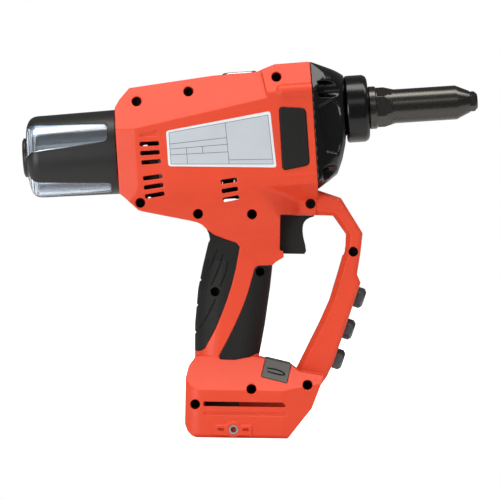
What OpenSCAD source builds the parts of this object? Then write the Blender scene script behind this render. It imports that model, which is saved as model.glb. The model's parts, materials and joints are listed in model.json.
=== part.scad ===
// Battery rivet tool: two housing halves with a closed hand guard, a cast nose, a ball screw puller
// driven by a motor and planetary gears, a mandrel container, a trigger and a battery foot.
// X points to the nose, Y to the left, Z up; the foot stands on Z = 0.

/* [Barrel] */
// Tilt of the pulling axis, nose up
barrel_tilt = 4.5; // [2:0.5:7]
// Forward place of the plane where housing and front casting meet
barrel_x = 44.46; // [40:0.02:48]
// Height of the pulling axis in that plane
barrel_z = 232.6; // [229:0.2:240]
// Length of the housing behind that plane
body_len = 140.5; // [139:0.5:146]
// Half width of the housing
body_half_w = 36; // [35:0.5:40]
// Wall of the housing
wall = 3; // [2.4:0.1:3.6]
// Height of the front block over the pulling axis
block_top = 34.8; // [34:0.2:38]
// Length of the front block
block_len = 25; // [22:0.5:27]
// Height of the spine behind the front block
spine_top = 30; // [29:0.2:32]
// Height of the spine at the rear end
spine_rear = 24.7; // [22:0.2:27]
// Height of the crease at the rear end, where the upper facet starts
crease_rear = -6; // [-9:0.5:-3]
// Height of the crease at the front block
crease_front = 10.3; // [8:0.1:12]
// Inward lean of the upper facets, in mm for each mm of height
facet_lean = 0.75; // [0.6:0.05:0.85]
// Length of a vent slot
vent_len = 13.7; // [10:0.1:15]
// Height of a vent slot
vent_h = 3; // [2:0.1:3.4]

/* [Grip, guard and foot] */
// Half width of the grip at its middle
grip_half_w = 18.4; // [17:0.2:21]
// Wall of the grip, rubber pads included
grip_wall = 5.4; // [5:0.1:6.5]
// Depth of the rubber pads
pad_t = 2.2; // [1.6:0.1:2.6]
// Half width of the hand guard
guard_half_w = 13.5; // [12:0.5:15]
// Chamfer along the inner edges of the guard
guard_chamfer = 3.6; // [2:0.2:4.5]
// Half width of the foot
foot_half_w = 38; // [37:0.5:42]
// Height of the foot's widest part
foot_side_h = 33.5; // [31:0.5:36]
// Wall of the foot beside the battery bay
foot_wall = 6; // [5:0.5:7]
// Width of a battery rail
rail_w = 4; // [3:0.5:5]
// Height of the battery bay
bay_h = 27; // [26:0.5:28]
// Radius of the counterbores over the screws
counterbore_r = 3.5; // [3.4:0.1:3.9]

/* [Trigger] */
// Travel of the trigger
trigger_travel = 6; // [4:0.5:6]
// Half width of the trigger
trigger_half_w = 10; // [8:0.5:11]

/* [Nose] */
// Radius of the collar nut
collar_r = 24; // [23:0.5:26]
// Outer radius of the nose sleeve
sleeve_r = 12.2; // [12:0.1:13]
// Bore radius of the nose sleeve
sleeve_bore_r = 10.2; // [9.8:0.1:10.4]
// Radius of the sleeve's base with its wrench flats
sleeve_base_r = 14.2; // [14:0.1:15]
// Distance of the sleeve's front shoulder from the housing plane
sleeve_front = 103; // [101:0.5:108]
// Radius of the rivet mandrel hole
mandrel_hole_r = 1.6; // [1.2:0.1:1.7]
// Stroke of the puller
stroke = 25; // [15:1:25]

/* [Gear train] */
// Gear module
gear_module = 1; // [0.95:0.05:1]
// Teeth of the sun pinion
sun_teeth = 12; // [12:3:12]
// Teeth of a planet gear
planet_teeth = 15; // [15:2:15]
// Teeth of the drive gear
drive_teeth = 20; // [18:2:20]
// Teeth of the gear on the ball nut
nut_teeth = 52; // [50:2:52]
// Outer radius of the motor case
motor_r = 23; // [21:0.5:23.5]
// Room between the motor's end cap and the rear end of the housing
motor_room = 21.5; // [21:0.5:25]
// Outer radius of the ring gear
ring_r = 25; // [24.5:0.1:25.5]
// Radius of the ball screw
screw_r = 8; // [7.5:0.1:8.2]

/* [Container] */
// Height of the container's top over the pulling axis
container_rise = 10.4; // [9.6:0.2:11.2]
// How much narrower than the housing the container is, on each side
container_step = 5.8; // [5.4:0.1:6.4]
// Length of the container
container_len = 68.2; // [60:0.2:80]
// Wall of the container frame, and of the cup inside it
container_wall = 1.8; // [1.4:0.1:2]

/* [Clearances] */
// Gap between pieces that slide or lift past each other
slide_gap = 0.3; // [0.2:0.05:0.4]
// Radial clearance of running shafts
run_gap = 0.05; // [0.03:0.01:0.08]
// Gap between pieces that are fixed to each other
fixed_gap = 0.02; // [0.01:0.01:0.05]
// Backlash of a gear, measured on its pitch circle
backlash = 0.12; // [0.08:0.01:0.16]

/* [Hidden] */
$fn = 64;

orange = "#e9553c";
rubber = "#2e2e2c";
black_cast = "#1b1b1b";
dark_steel = "#3b3b39";
steel = "#b9bcc0";
brass = "#c9a24c";

far = 200;
sides = [-1, 1];
container_r = body_half_w - container_step;
container_drop = container_r - container_rise;

// Points of the side view are given in the barrel's frame, with the origin on the pulling axis in the
// housing plane, or in the tool's own frame; these change one into the other.
function to_barrel(p) =
    let (dx = p[0] - barrel_x, dz = p[1] - barrel_z)
    [dx * cos(barrel_tilt) + dz * sin(barrel_tilt), dz * cos(barrel_tilt) - dx * sin(barrel_tilt)];
function to_tool(p) =
    [barrel_x + p[0] * cos(barrel_tilt) - p[1] * sin(barrel_tilt),
     barrel_z + p[0] * sin(barrel_tilt) + p[1] * cos(barrel_tilt)];
function curve(p, q, r, steps) =
    [for (i = [0 : steps]) let (t = i / steps) (1 - t) * (1 - t) * p + 2 * t * (1 - t) * q + t * t * r];
// An outline with its corners rounded
function rounded(points, r) =
    let (n = len(points))
    [for (i = [0 : n - 1])
        let (p = points[i], q = points[(i + n - 1) % n] - p, s = points[(i + 1) % n] - p)
        each curve(p + r * q / norm(q), p, p + r * s / norm(s), 4)];
function polar(r, t) = r * [cos(t), sin(t)];
function arc(centre, r, from, to, steps) =
    [for (i = [0 : steps]) centre + polar(r, from + (to - from) * i / steps)];

module barrel_frame() {
    translate([barrel_x, 0, barrel_z]) rotate([0, -barrel_tilt, 0]) children();
}
module motor_frame() {
    barrel_frame() translate([0, 0, -motor_drop]) children();
}
module container_frame_axis() {
    barrel_frame() translate([-body_len, 0, -container_drop]) rotate([0, -90, 0]) children();
}
// A round bar along X
module bar(from, to, r) {
    translate([from, 0, 0]) rotate([0, 90, 0]) cylinder(r = r, h = to - from);
}
module tube(from, to, r, bore) {
    difference() {
        bar(from, to, r);
        bar(from - 1, to + 1, bore);
    }
}
// A turned piece along X: points are [place along X, radius]
module turned(points) {
    rotate([0, 90, 0]) rotate_extrude() polygon([for (p = points) [p[1], p[0]]]);
}
// A round pin along Y at a point of the side view
module cross_pin(p, from, to, r) {
    translate([p[0], from, p[1]]) rotate([-90, 0, 0]) cylinder(r = r, h = to - from);
}
// A side view outline with a width, a front view outline with a length
module side_slab(points, from, to) {
    translate([0, to, 0]) rotate([90, 0, 0]) linear_extrude(to - from) polygon(points);
}
module front_slab(points, from, to) {
    translate([from, 0, 0]) rotate([90, 0, 90]) linear_extrude(to - from) polygon(points);
}
module disc_slab(from, to) {
    translate([from, 0, 0]) rotate([90, 0, 90]) linear_extrude(to - from) children();
}
module both_sides() {
    children();
    mirror([0, 1, 0]) children();
}
module half(side) {
    intersection() {
        children();
        translate([-far * 1.5, side < 0 ? -far : 0, -far]) cube([far * 3, far, far * 3]);
    }
}

// Barrel housing in its own frame
rear_half_h = container_r + slide_gap;
rear_bevel = 11;
rear_taper_run = 13.5;
rear_taper = 2.5;
neck_front_x = 22.4;
bar_bottom_z = 158.4;
slot_floor_z = 130.2;
belly_front = -56;
facet_in = 15;
facet_top_half_w = body_half_w - facet_in;
facet_start = 14;
chin_start = -52;
chin_flare = 2.6;
chin_half_w = grip_half_w + chin_flare;
chin_drop = 36;
chin_round = 6;
chin_bulge = 12;
chin_steps = 6;
neck_taper = 0.1;
neck_low = -115;
neck_room_low = -100;
bar_half_w = guard_half_w + 1;
step_run = 13;
step_mid = 6.2;

function body_outline() = concat(
    [[0, block_top], [-block_len, block_top - 0.3], [-block_len - step_mid, (block_top + spine_top) / 2],
     [-block_len - step_run, spine_top], [-block_len - 3.4 * step_run, spine_top - 0.5],
     [-body_len + rear_bevel, spine_rear], [-body_len + rear_bevel / 3, spine_rear - 8],
     [-body_len, rear_half_h - container_drop], [-body_len, -rear_half_h - container_drop],
     [-body_len + rear_bevel / 3, -rear_half_h - container_drop - 3.3],
     [-body_len + 1.15 * rear_bevel, -63]],
    curve([-92, -72.4], [-79, -75.5], [-78.9, -86.5], 5),
    [to_barrel([-29.2, 134]), to_barrel([-30.5, 127])],
    [to_barrel([14, 121]), to_barrel([17, 121.9]), to_barrel([19.7, 124.6]), to_barrel([25.3, 127.9]),
     to_barrel([24.9, 132.4]), to_barrel([neck_front_x, 133]), to_barrel([neck_front_x, bar_bottom_z]),
     to_barrel([47.7, bar_bottom_z]), [0, belly_front]]);
function mirrored(points) =
    concat(points, [for (i = [len(points) - 1 : -1 : 0]) [-points[i][0], points[i][1]]]);
function neck_half_w(h) = chin_half_w + neck_taper * (h - chin_start + chin_drop);
function body_front_view(low) = mirrored(concat([[neck_half_w(low), low]],
    curve([chin_half_w, chin_start - chin_drop], [body_half_w, chin_start - chin_bulge],
        [body_half_w, chin_start + chin_round], chin_steps),
    [[body_half_w, facet_start], [facet_top_half_w, block_top + 1], [facet_top_half_w, far / 4]]));
function body_plan() = mirrored([
    [body_half_w - rear_taper, -body_len - 1], [body_half_w, -body_len + rear_taper_run], [body_half_w, 10]]);

facet_run = body_len - rear_bevel - block_len - step_run / 2;
facet_rise = atan2(crease_front - crease_rear, facet_run);
facet_reach = 50;
facet_dip = 10;
belly_rear = -58;
belly_bend = -30;
belly_end = -14;
belly_low = -64;
belly_steps = 6;
// Cut that leaves the upper facet of the left side, and the one that narrows the belly to the guard
module facet_cut(inset) {
    start = body_half_w - inset * sqrt(1 + facet_lean * facet_lean);
    translate([-body_len + rear_bevel, 0, crease_rear]) rotate([0, -facet_rise, 0])
        front_slab([[start + facet_dip * facet_lean, -facet_dip], [far / 2, -facet_dip],
            [far / 2, facet_reach], [start - facet_reach * facet_lean, facet_reach]],
            -far / 4, facet_run / cos(facet_rise) + inset);
}
module belly_cut(inset) {
    intersection() {
        disc_slab(-far, far / 10) offset(delta = inset) polygon([[body_half_w + 1, chin_start + 1],
            [bar_half_w, belly_low], [bar_half_w, -far], [far, -far], [far, chin_start + 1]]);
        translate([0, 0, -far]) linear_extrude(2 * far) offset(delta = inset) polygon(concat(
            curve([belly_rear, body_half_w + 1], [belly_bend, body_half_w],
                [belly_end, bar_half_w], belly_steps),
            [[far / 10, bar_half_w], [far / 10, far], [belly_rear, far]]));
    }
}
module body_form(inset, low) {
    difference() {
        intersection() {
            translate([0, far / 2, 0]) rotate([90, 0, 0]) linear_extrude(far)
                offset(delta = -inset) polygon(body_outline());
            translate([-far, 0, 0]) rotate([90, 0, 90]) linear_extrude(far + 20)
                offset(delta = -inset) polygon(body_front_view(low));
            translate([0, 0, -far]) linear_extrude(2 * far) rotate([0, 0, 90]) mirror([0, 1])
                offset(delta = -inset) polygon(body_plan());
        }
        both_sides() {
            facet_cut(inset);
            belly_cut(inset);
        }
    }
}

// Grip: rounded stations [height, back, front, half width added to the grip's own]
grip_stations = [[50, -37, 7.6, 1.2], [62, -37.3, 8.2, 0.2], [80, -37.4, 12.6, -0.1], [104, -35.6, 15.7, 0.1],
    [121, -32.4, 16.6, 0.4], [138, -28.6, 19, 1.2]];
grip_back_r = 15;
grip_front_r = 13;
module grip_form(inset) {
    hull() for (g = grip_stations, e = [0, 1], s = sides) {
        r = (e == 0 ? grip_back_r : grip_front_r) - inset;
        x = e == 0 ? g[1] + grip_back_r : g[2] - grip_front_r;
        y = grip_half_w + g[3] - (e == 0 ? grip_back_r : grip_front_r);
        translate([x, s * y, g[0]]) cylinder(r = r, h = 0.1, $fn = 32);
    }
}

// Hand guard: a band swept through [inner point, outer point] pairs of the side view
// and, between two ends, a slightly crowned front face that carries the spare nosepieces
guard_face = [[80.4, 110.5], [61.9, 53.4]];
face_crown = 0.05;
function on_guard_face(share) = guard_face[0] + share * (guard_face[1] - guard_face[0])
    + [4 * face_crown * share * (1 - share), 0];
guard_stations = [[[34, 158.2], [36, 180]], [[47.7, 158.1], [48.3, 176.4]], [[60.3, 157.6], [65.5, 170.9]],
    [[69.4, 145], [81.4, 146]], [[68.8, 134], [80.2, 133]], [[64.2, 117], [77.8, 116.5]],
    [[62.6, 111.5], guard_face[0]], [[58.7, 98.1], on_guard_face(0.24)], [[51.8, 82], on_guard_face(0.5)],
    [[44.9, 67.8], on_guard_face(0.75)], [[38, 53.4], guard_face[1]], [[33, 43], [57.4, 43.4]],
    [[28, 32], [48, 30]]];
guard_outer_chamfer = 2.4;
function guard_ring(g) =
    let (d = g[1] - g[0], l = norm(d), u = d / l, c = guard_chamfer, k = guard_outer_chamfer,
        w = guard_half_w)
    [for (p = [[0, w - c], [c, w], [l - k, w], [l, w - k], [l, k - w], [l - k, -w], [c, -w], [0, c - w]])
        [g[0][0] + u[0] * p[0], p[1], g[0][1] + u[1] * p[0]]];
// A closed tube through rings of points, each ring with as many points
module swept(rings) {
    n = len(rings[0]);
    last = len(rings) - 1;
    polyhedron(points = [for (r = rings) each r],
        faces = concat(
            [[for (i = [0 : n - 1]) i]],
            [for (j = [0 : last - 1], i = [0 : n - 1]) let (k = (i + 1) % n)
                each [[j * n + i, (j + 1) * n + i, j * n + k],
                    [j * n + k, (j + 1) * n + i, (j + 1) * n + k]]],
            [[for (i = [n - 1 : -1 : 0]) last * n + i]]));
}
module guard_form() {
    swept([for (g = guard_stations) guard_ring(g)]);
}

// Foot
foot_outline = [[-36, 57], [-41.3, 49.3], [-43, 42], [-43.2, 9], [-41.2, 4.4], [-38.2, 1.3], [-34.7, 0],
    [29.6, 0], [46.4, 21.4], [55, 44.4], [37, 47.4], [31.7, 51.4], [12.9, 55.8], [7, 57]];
shoulder_half_w = 19;
shoulder_z = 57;
foot_edge = 2.5;
foot_back = -43.2;
foot_front = 56;
foot_corner_r = 12;
foot_taper_start = 26;
foot_nose_in = 5;
foot_nose_half_w = foot_half_w - foot_nose_in;
module foot_form() {
    intersection() {
        side_slab(foot_outline, -far / 2, far / 2);
        front_slab(mirrored([[foot_half_w - foot_edge, 0], [foot_half_w, foot_edge],
            [foot_half_w, foot_side_h], [shoulder_half_w, shoulder_z], [shoulder_half_w, far / 2]]),
            -far, far);
        linear_extrude(far) union() {
            polygon([[foot_back + foot_corner_r - 1, foot_half_w], [foot_taper_start, foot_half_w],
                [foot_front, foot_nose_half_w], [foot_front, -foot_nose_half_w],
                [foot_taper_start, -foot_half_w], [foot_back + foot_corner_r - 1, -foot_half_w]]);
            translate([foot_back - 1, -foot_half_w + foot_corner_r])
                square([foot_corner_r + 1, 2 * (foot_half_w - foot_corner_r)]);
            for (s = sides) translate([foot_back - 1 + foot_corner_r, s * (foot_half_w - foot_corner_r)])
                circle(r = foot_corner_r);
        }
    }
}

// Belt hook boss on each side of the foot, with its threaded insert
hook_x = -8.7;
hook_z = 6;
hook_half_len = 12.9;
hook_h = 9;
hook_rise = 1.5;
insert_r = 3.3;
insert_bore_r = 2.1;
insert_len = 4.6;
hook_slot = [4.7, 5, 1.7];
hook_slot_shift = 8.7;
hook_face = foot_half_w + hook_rise;
module hook_bosses() {
    both_sides() {
        translate([hook_x - hook_half_len, foot_half_w - 1, hook_z - hook_h / 2 + 0.3])
            cube([2 * hook_half_len, hook_rise + 1, hook_h - 2]);
        cross_pin([hook_x, hook_z], foot_half_w - 1, hook_face, hook_h / 2 + 1);
    }
}
module hook_holes() {
    both_sides() {
        cross_pin([hook_x, hook_z], hook_face - insert_len, far / 2, insert_r);
        for (s = sides) translate([hook_x + s * hook_slot_shift, hook_face, hook_z])
            cube(hook_slot, center = true);
    }
}
module hook_inserts() {
    color(steel) both_sides() difference() {
        cross_pin([hook_x, hook_z], hook_face - insert_len, hook_face, insert_r - fixed_gap);
        cross_pin([hook_x, hook_z], 0, far / 2, insert_bore_r);
    }
}

// Screws that join the halves: in the barrel from its rear end, at shares of its length and from the
// housing plane, then in the tool's frame, all as [point, depth of the head's seat from the middle]
rear_screws = [[15.9, 14.4], [14.3, -57.8]];
middle_screws = [[0.622, 19], [0.612, -68.2]];
fore_screws = [[-24.4, 25], [-47.9, -70.9], [-5.7, -66]];
barrel_screw_points = concat([for (p = rear_screws) [p[0] - body_len, p[1]]],
    [for (p = middle_screws) [-p[0] * body_len, p[1]]], fore_screws);
tool_screw_points = [[74.9, 132.6], [43.2, 37.8], [-23.2, 102.8], [8.7, 117.4], [3.6, 34.5], [-36, 23.3]];
body_seat = 12;
guard_seat = 6;
screw_seats = concat([for (p = barrel_screw_points) [to_tool(p), body_seat]],
    [for (p = tool_screw_points) [p, guard_seat]]);
screw_post_r = 5;
screw_head_r = 3.2;
screw_head_h = 2.6;
screw_shank_r = 1.7;
screw_reach = 9;
module screw_posts() {
    for (q = screw_seats) cross_pin(q[0], -far / 2, far / 2, screw_post_r);
}
module screw_holes() {
    for (q = screw_seats) {
        cross_pin(q[0], -far / 2, -q[1], counterbore_r);
        cross_pin(q[0], -far / 2, screw_reach + 1, screw_shank_r + fixed_gap);
    }
}
module housing_screws() {
    color(dark_steel) for (q = screw_seats) {
        difference() {
            cross_pin(q[0], -q[1] - screw_head_h, -q[1], screw_head_r);
            translate([q[0][0], -q[1] - screw_head_h / 2, q[0][1]]) rotate([90, 0, 0])
                cylinder(r = screw_head_r / 2, h = far, $fn = 6);
        }
        cross_pin(q[0], -q[1], screw_reach, screw_shank_r);
    }
}

// Front casting screws: each runs through an ear of the casting into a ridge of the housing
front_screw_in = [4.4, 6];
front_screw_h = [14, -45.5];
front_screw_places = [for (i = [0, 1]) [body_half_w - front_screw_in[i], front_screw_h[i]]];
ridge_r = 5.2;
ridge_shift = 1;
ridge_len = 21;
front_ear_t = 4.5;
front_head_r = 3.9;
front_head_h = 4;
front_shank_r = 2;
module at_front_screws() {
    barrel_frame() for (s = sides, p = front_screw_places) translate([0, s * p[0], p[1]]) children();
}
module ridges() {
    barrel_frame() for (s = sides, p = front_screw_places) translate([0, s * (p[0] + ridge_shift), p[1]]) {
        bar(-ridge_len, 0, ridge_r);
        translate([-ridge_len, 0, 0]) sphere(r = ridge_r);
    }
}
module front_screws() {
    color(black_cast) at_front_screws() {
        difference() {
            bar(front_ear_t, front_ear_t + front_head_h, front_head_r);
            translate([front_ear_t + front_head_h / 2, 0, 0]) rotate([0, 90, 0])
                cylinder(r = front_head_r / 2, h = front_head_h, $fn = 6);
        }
        bar(-front_shank_len, front_ear_t, front_shank_r);
    }
}

// Rubber pads of the grip, set flush into the plastic
rear_pad = concat([[-60, 150], [-29.3, 146.6]], curve([-24.2, 143.1], [-15, 139.5], [-8.4, 137.7], 2),
    [[-6.2, 134.9]], curve([-7.2, 129.1], [-10.5, 104], [-23.1, 75.3], 5),
    [[-30, 62.3], [-32.9, 60.5], [-60, 60]]);
front_pad = concat([[40, 121.5], [17, 122.2], [6.8, 121.6], [4.7, 119.5]],
    curve([0.7, 104.3], [-4.5, 86], [-19.6, 57.6], 5),
    [[-19.4, 54.8], [-8.5, 54.6], [2.2, 56.8], [7.2, 59.4], [40, 59.6]]);
pad_notch_z = [111, 93, 73.5];
pad_notch_r = 0.9;
pad_grooves = [[[-21.4, 133.2], [-28, 117.5], [-33.3, 111.5]],
    [[-17.7, 129.4], [-20.8, 117.4], [-26.4, 107.1]],
    [[-14.4, 124.5], [-14.8, 116.2], [-19.7, 106.4]],
    [[-22.8, 97.9], [-26.8, 87], [-34.4, 76.4]]];
pad_groove_half_w = [0.4, 0];
pad_groove_depth = 0.8;
pad_lip = 0.3;
module pad_zones() {
    side_slab(rear_pad, -far / 4, far / 4);
    side_slab(front_pad, -far / 4, far / 4);
}
module handle_core(inset) {
    grip_form(inset);
    barrel_frame() body_form(inset, neck_low);
}
module pad_groove_cuts() {
    difference() {
        for (g = pad_grooves) {
            line = curve(g[0], g[1], g[2], 4);
            side_slab(concat([for (p = line) p + pad_groove_half_w],
                backward([for (p = line) p - pad_groove_half_w])), -far / 4, far / 4);
        }
        handle_core(pad_groove_depth);
    }
}
function grip_back_at(z) = lookup(z, [for (g = grip_stations) [g[0], g[1]]]);
module grip_pads(side) {
    color(rubber) half(side) difference() {
        intersection() {
            handle_core(0);
            pad_zones();
        }
        handle_core(pad_t);
        for (z = pad_notch_z) cross_pin([grip_back_at(z), z], -far / 4, far / 4, pad_notch_r);
        pad_groove_cuts();
        for (q = screw_seats) cross_pin(q[0], -far / 2, 0, counterbore_r - pad_lip);
        trigger_slot();
    }
}
module right_grip_pads() { grip_pads(-1); }
module left_grip_pads() { grip_pads(1); }

// Rubber bumpers and the rating plate, set into the flat sides
bumper_outline = rounded([[-24, 3.5], [-5.2, 1.2], [-5, -38.9], [-24.3, -41.6]], 3);
bumper_depth = 1.8;
bumper_rise = 0.9;
plate_rear_at = 35.8;
plate_corner = 2;
plate_outline = rounded([[plate_rear_at - body_len, -8.4], [-30.4, 0.9], [-28.5, -39.2],
    [plate_rear_at - body_len, -33.4]], plate_corner);
plate_depth = 0.5;
plate_rise = 0.2;
module side_recesses() {
    barrel_frame() {
        both_sides() side_slab(bumper_outline, body_half_w - bumper_depth, far);
        side_slab(plate_outline, -far, plate_depth - body_half_w);
    }
}
module side_bumpers() {
    color(rubber) barrel_frame() both_sides()
        side_slab(bumper_outline, body_half_w - bumper_depth, body_half_w + bumper_rise);
}
module rating_plate() {
    color("#c9cdd0") barrel_frame()
        side_slab(plate_outline, -body_half_w - plate_rise, plate_depth - body_half_w);
}

// Vent slots: [middle, from the rear end or from the housing plane, height, fan angle]
rear_vents = [[23.5, -16.6, 1], [23.5, -23, 0], [23.9, -29.5, -1], [24.3, -40.4, -4], [24.5, -46.8, -5],
    [24.9, -53, -6]];
front_vents = [[-62.6, -46.4, -5], [-62.4, -52.8, -6], [-62, -59, -7]];
front_vent_cut = 2.2;
blind_vent = [[17, -9.4], [29.9, -7.6], [30.2, -11.7], [17.2, -11.6]];
blind_vent_depth = 0.9;
module vents() {
    barrel_frame() {
        for (v = rear_vents) translate([v[0] - body_len, 0, v[1]]) rotate([0, v[2], 0])
            cube([vent_len, far, vent_h], center = true);
        for (v = front_vents) translate([v[0], 0, v[1]]) rotate([0, v[2], 0])
            cube([vent_len - front_vent_cut, far, vent_h], center = true);
        translate([-body_len, 0, 0]) both_sides() side_slab(blind_vent, body_half_w - blind_vent_depth, far);
    }
}

// Hanging bail of steel wire, folded down into a groove in the spine
bail_wire_r = 2;
bail_pivot_a = -40;
bail_len = 21;
bail_half_w = 11;
bail_corner_r = 5;
bail_pin_reach = 5;
bail_sink = 0.8;
bail_h = spine_top - bail_sink;
bail_groove_gap = 1;
module bail_wire(r) {
    run = bail_len - bail_corner_r;
    both_sides() {
        translate([0, bail_half_w, 0]) {
            bar(-run, 0, r);
            sphere(r = r);
        }
        cross_pin([0, 0], bail_half_w, bail_half_w + bail_pin_reach, r);
        translate([-run, bail_half_w - bail_corner_r, 0]) rotate([0, 0, 90])
            rotate_extrude(angle = 90) translate([bail_corner_r, 0]) circle(r = r);
    }
    cross_pin([-bail_len, 0], bail_corner_r - bail_half_w, bail_half_w - bail_corner_r, r);
}
module hang_bail() {
    color(steel) barrel_frame() translate([bail_pivot_a, 0, bail_h]) bail_wire(bail_wire_r);
}
module bail_groove() {
    w = bail_wire_r + bail_groove_gap;
    barrel_frame() translate([bail_pivot_a, 0, bail_h]) {
        for (s = sides) translate([-bail_len - w, s * bail_half_w - w, -w])
            cube([bail_len + 2 * w, 2 * w, far / 4]);
        translate([-bail_len - w, -bail_half_w, -w]) cube([2 * w, 2 * bail_half_w, far / 4]);
        cross_pin([0, 0], -bail_pin_end - 1, bail_pin_end + 1, bail_wire_r + run_gap);
    }
}
bail_pin_end = bail_half_w + bail_pin_reach;
bail_bed_edge = 6;
bail_bed_wall = 4;
bail_bed_depth = 7;
module bail_bed() {
    barrel_frame() translate([bail_pivot_a - bail_len - bail_bed_edge, -bail_pin_end - bail_bed_wall,
        bail_h - bail_bed_depth])
        cube([bail_len + 2 * bail_bed_edge, 2 * (bail_pin_end + bail_bed_wall), bail_bed_depth + 1]);
}

// Drive: places along the barrel of the pieces that stack up behind the housing plane
motor_drop = gear_module * (drive_teeth + nut_teeth) / 2;
plate_front = -16;
plate_t = 4;
front_shank_len = -plate_front - 1;
ring_len = 32;
plate_rear = plate_front - plate_t;
ring_rear = plate_rear - ring_len;
motor_front = ring_rear - plate_t;
cap_t = 7;
cap_rear = motor_room - body_len;
motor_rear = cap_rear + cap_t;
motor_len = motor_front - motor_rear;
gear_front = -5;
gear_w = 9;
rotor_r = 3;
rotor_bearing_r = 8;
tube_r = 3;
tube_bore_r = 2.2;
screw_bore_r = 3.4;
bulkhead_at = 9.5;
bulkhead_rear = bulkhead_at - body_len;
bulkhead_t = 3;
tube_boss_len = 9;
rib_t = 3;
motor_rib = motor_rear + 6;
ring_rib = ring_rear + 6;
ring_rib_low = -motor_drop - ring_r - wall;
nut_r = 14;
nut_end_r = 12;
nut_rear = plate_rear + slide_gap;
nut_front = 15;
plate_nut_r = 22.5;
nut_bearing_r = 19;
front_bearing_r = 16;
front_bearing_from = 4;
front_bearing_to = 13;
key_r = 11;

// Ribs inside the halves that carry the motor, the ring gear and the mandrel tube
module ribs() {
    barrel_frame() {
        difference() {
            translate([motor_rib, -far / 2, -far / 2]) cube([rib_t, far, far]);
            translate([0, 0, -motor_drop]) bar(-far, far, motor_r + fixed_gap);
            bar(-far, far, rail_inner_y + rail_t + 1);
        }
        difference() {
            union() {
                translate([bulkhead_rear, -far / 2, -far / 2]) cube([bulkhead_t, far, far]);
                bar(bulkhead_rear, bulkhead_rear + tube_boss_len, tube_r + wall);
            }
            bar(-far, far, tube_r + fixed_gap);
        }
        difference() {
            translate([ring_rib, -far / 2, ring_rib_low]) cube([rib_t, far, far]);
            translate([0, 0, -motor_drop]) bar(-far, far, ring_r + fixed_gap);
            bar(-far, far, key_r + 2);
        }
    }
}

// Trigger slot and switch pocket in the neck
switch_back = -20;
switch_front = 5;
switch_half_w = 11.5;
switch_bottom = 128;
switch_top = 152.5;
switch_rib_t = 3;
module trigger_slot() {
    translate([switch_front + 1, -trigger_half_w - slide_gap, slot_floor_z])
        cube([far / 3, 2 * (trigger_half_w + slide_gap), bar_bottom_z - slot_floor_z]);
}
module switch_ribs() {
    both_sides() for (x = [switch_back + switch_rib_t, switch_front - 2 * switch_rib_t])
        translate([x, switch_half_w + fixed_gap, switch_bottom])
            cube([switch_rib_t, far / 8, switch_top - switch_bottom]);
}

// Battery bay, its rails and slots, and the space for the electronics over it
bay_half_w = foot_half_w - foot_wall;
rail_half_gap = bay_half_w - rail_w;
bay_back = -30.6;
bay_lid_t = 3;
rail_z = 12;
rail_h = 4;
rail_front = 34;
foot_slot = [[-30.1, 22.2], [28.8, 22.2], [25.6, 25.5], [-30.1, 25.5]];
foot_groove = [[-30, 15.6], [29, 15.6], [29, 18.4], [-30, 18.4]];
foot_groove_depth = 0.8;
board_room_back = -34;
board_room_front = 12;
board_room_half_w = 21;
board_room_top = 46;
module battery_bay() {
    difference() {
        translate([bay_back, -bay_half_w, -1]) cube([far, 2 * bay_half_w, bay_h + 1]);
        both_sides() translate([bay_back - 1, rail_half_gap, rail_z])
            cube([rail_front - bay_back, far / 4, rail_h]);
    }
    side_slab(foot_slot, -far / 2, far / 2);
    both_sides() side_slab(foot_groove, foot_half_w - foot_groove_depth, far);
}
module board_room() {
    translate([board_room_back, -board_room_half_w, bay_h + bay_lid_t])
        cube([board_room_front - board_room_back, 2 * board_room_half_w, board_room_top - bay_h - bay_lid_t]);
}

// Terminal block through the lid of the bay, with its blades
block_x = -29;
block_len_x = 24;
block_half_w = 14;
block_bottom = 16;
block_flange = 2;
module terminal_hole(gap) {
    translate([block_x - gap, -block_half_w - gap, block_bottom])
        cube([block_len_x + 2 * gap, 2 * (block_half_w + gap), bay_h + bay_lid_t - block_bottom]);
}
blade_places = [-9, 0, 9];
blade_x = block_x + 4;
blade_t = 1;
blade_len = 15;
blade_drop = 7;
blade_root = 8;
module terminal_block() {
    color("#202020") difference() {
        union() {
            terminal_hole(-fixed_gap);
            translate([block_x - block_flange, -block_half_w - block_flange, bay_h + bay_lid_t])
                cube([block_len_x + 2 * block_flange, 2 * (block_half_w + block_flange), block_flange]);
        }
        for (y = blade_places) translate([blade_x - fixed_gap, y - blade_t / 2 - fixed_gap, block_bottom - 1])
            cube([blade_len + 2 * fixed_gap, blade_t + 2 * fixed_gap, blade_root + 1 + fixed_gap]);
    }
}
module terminal_blades() {
    color(brass) for (y = blade_places) translate([blade_x, y - blade_t / 2, block_bottom - blade_drop])
        cube([blade_len, blade_t, blade_drop + blade_root]);
}
board_x = -33;
board_len = 30;
board_half_w = 19;
board_t = 1.6;
board_z = bay_h + bay_lid_t + block_flange;
chip_len = 14;
chip_h = 4;
module control_board() {
    color("#20603a") translate([board_x, -board_half_w, board_z])
        cube([board_len, 2 * board_half_w, board_t]);
    color("#303030") translate([board_x + chip_h, -chip_len / 2, board_z + board_t])
        cube([chip_len, chip_len, chip_h]);
}

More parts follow.
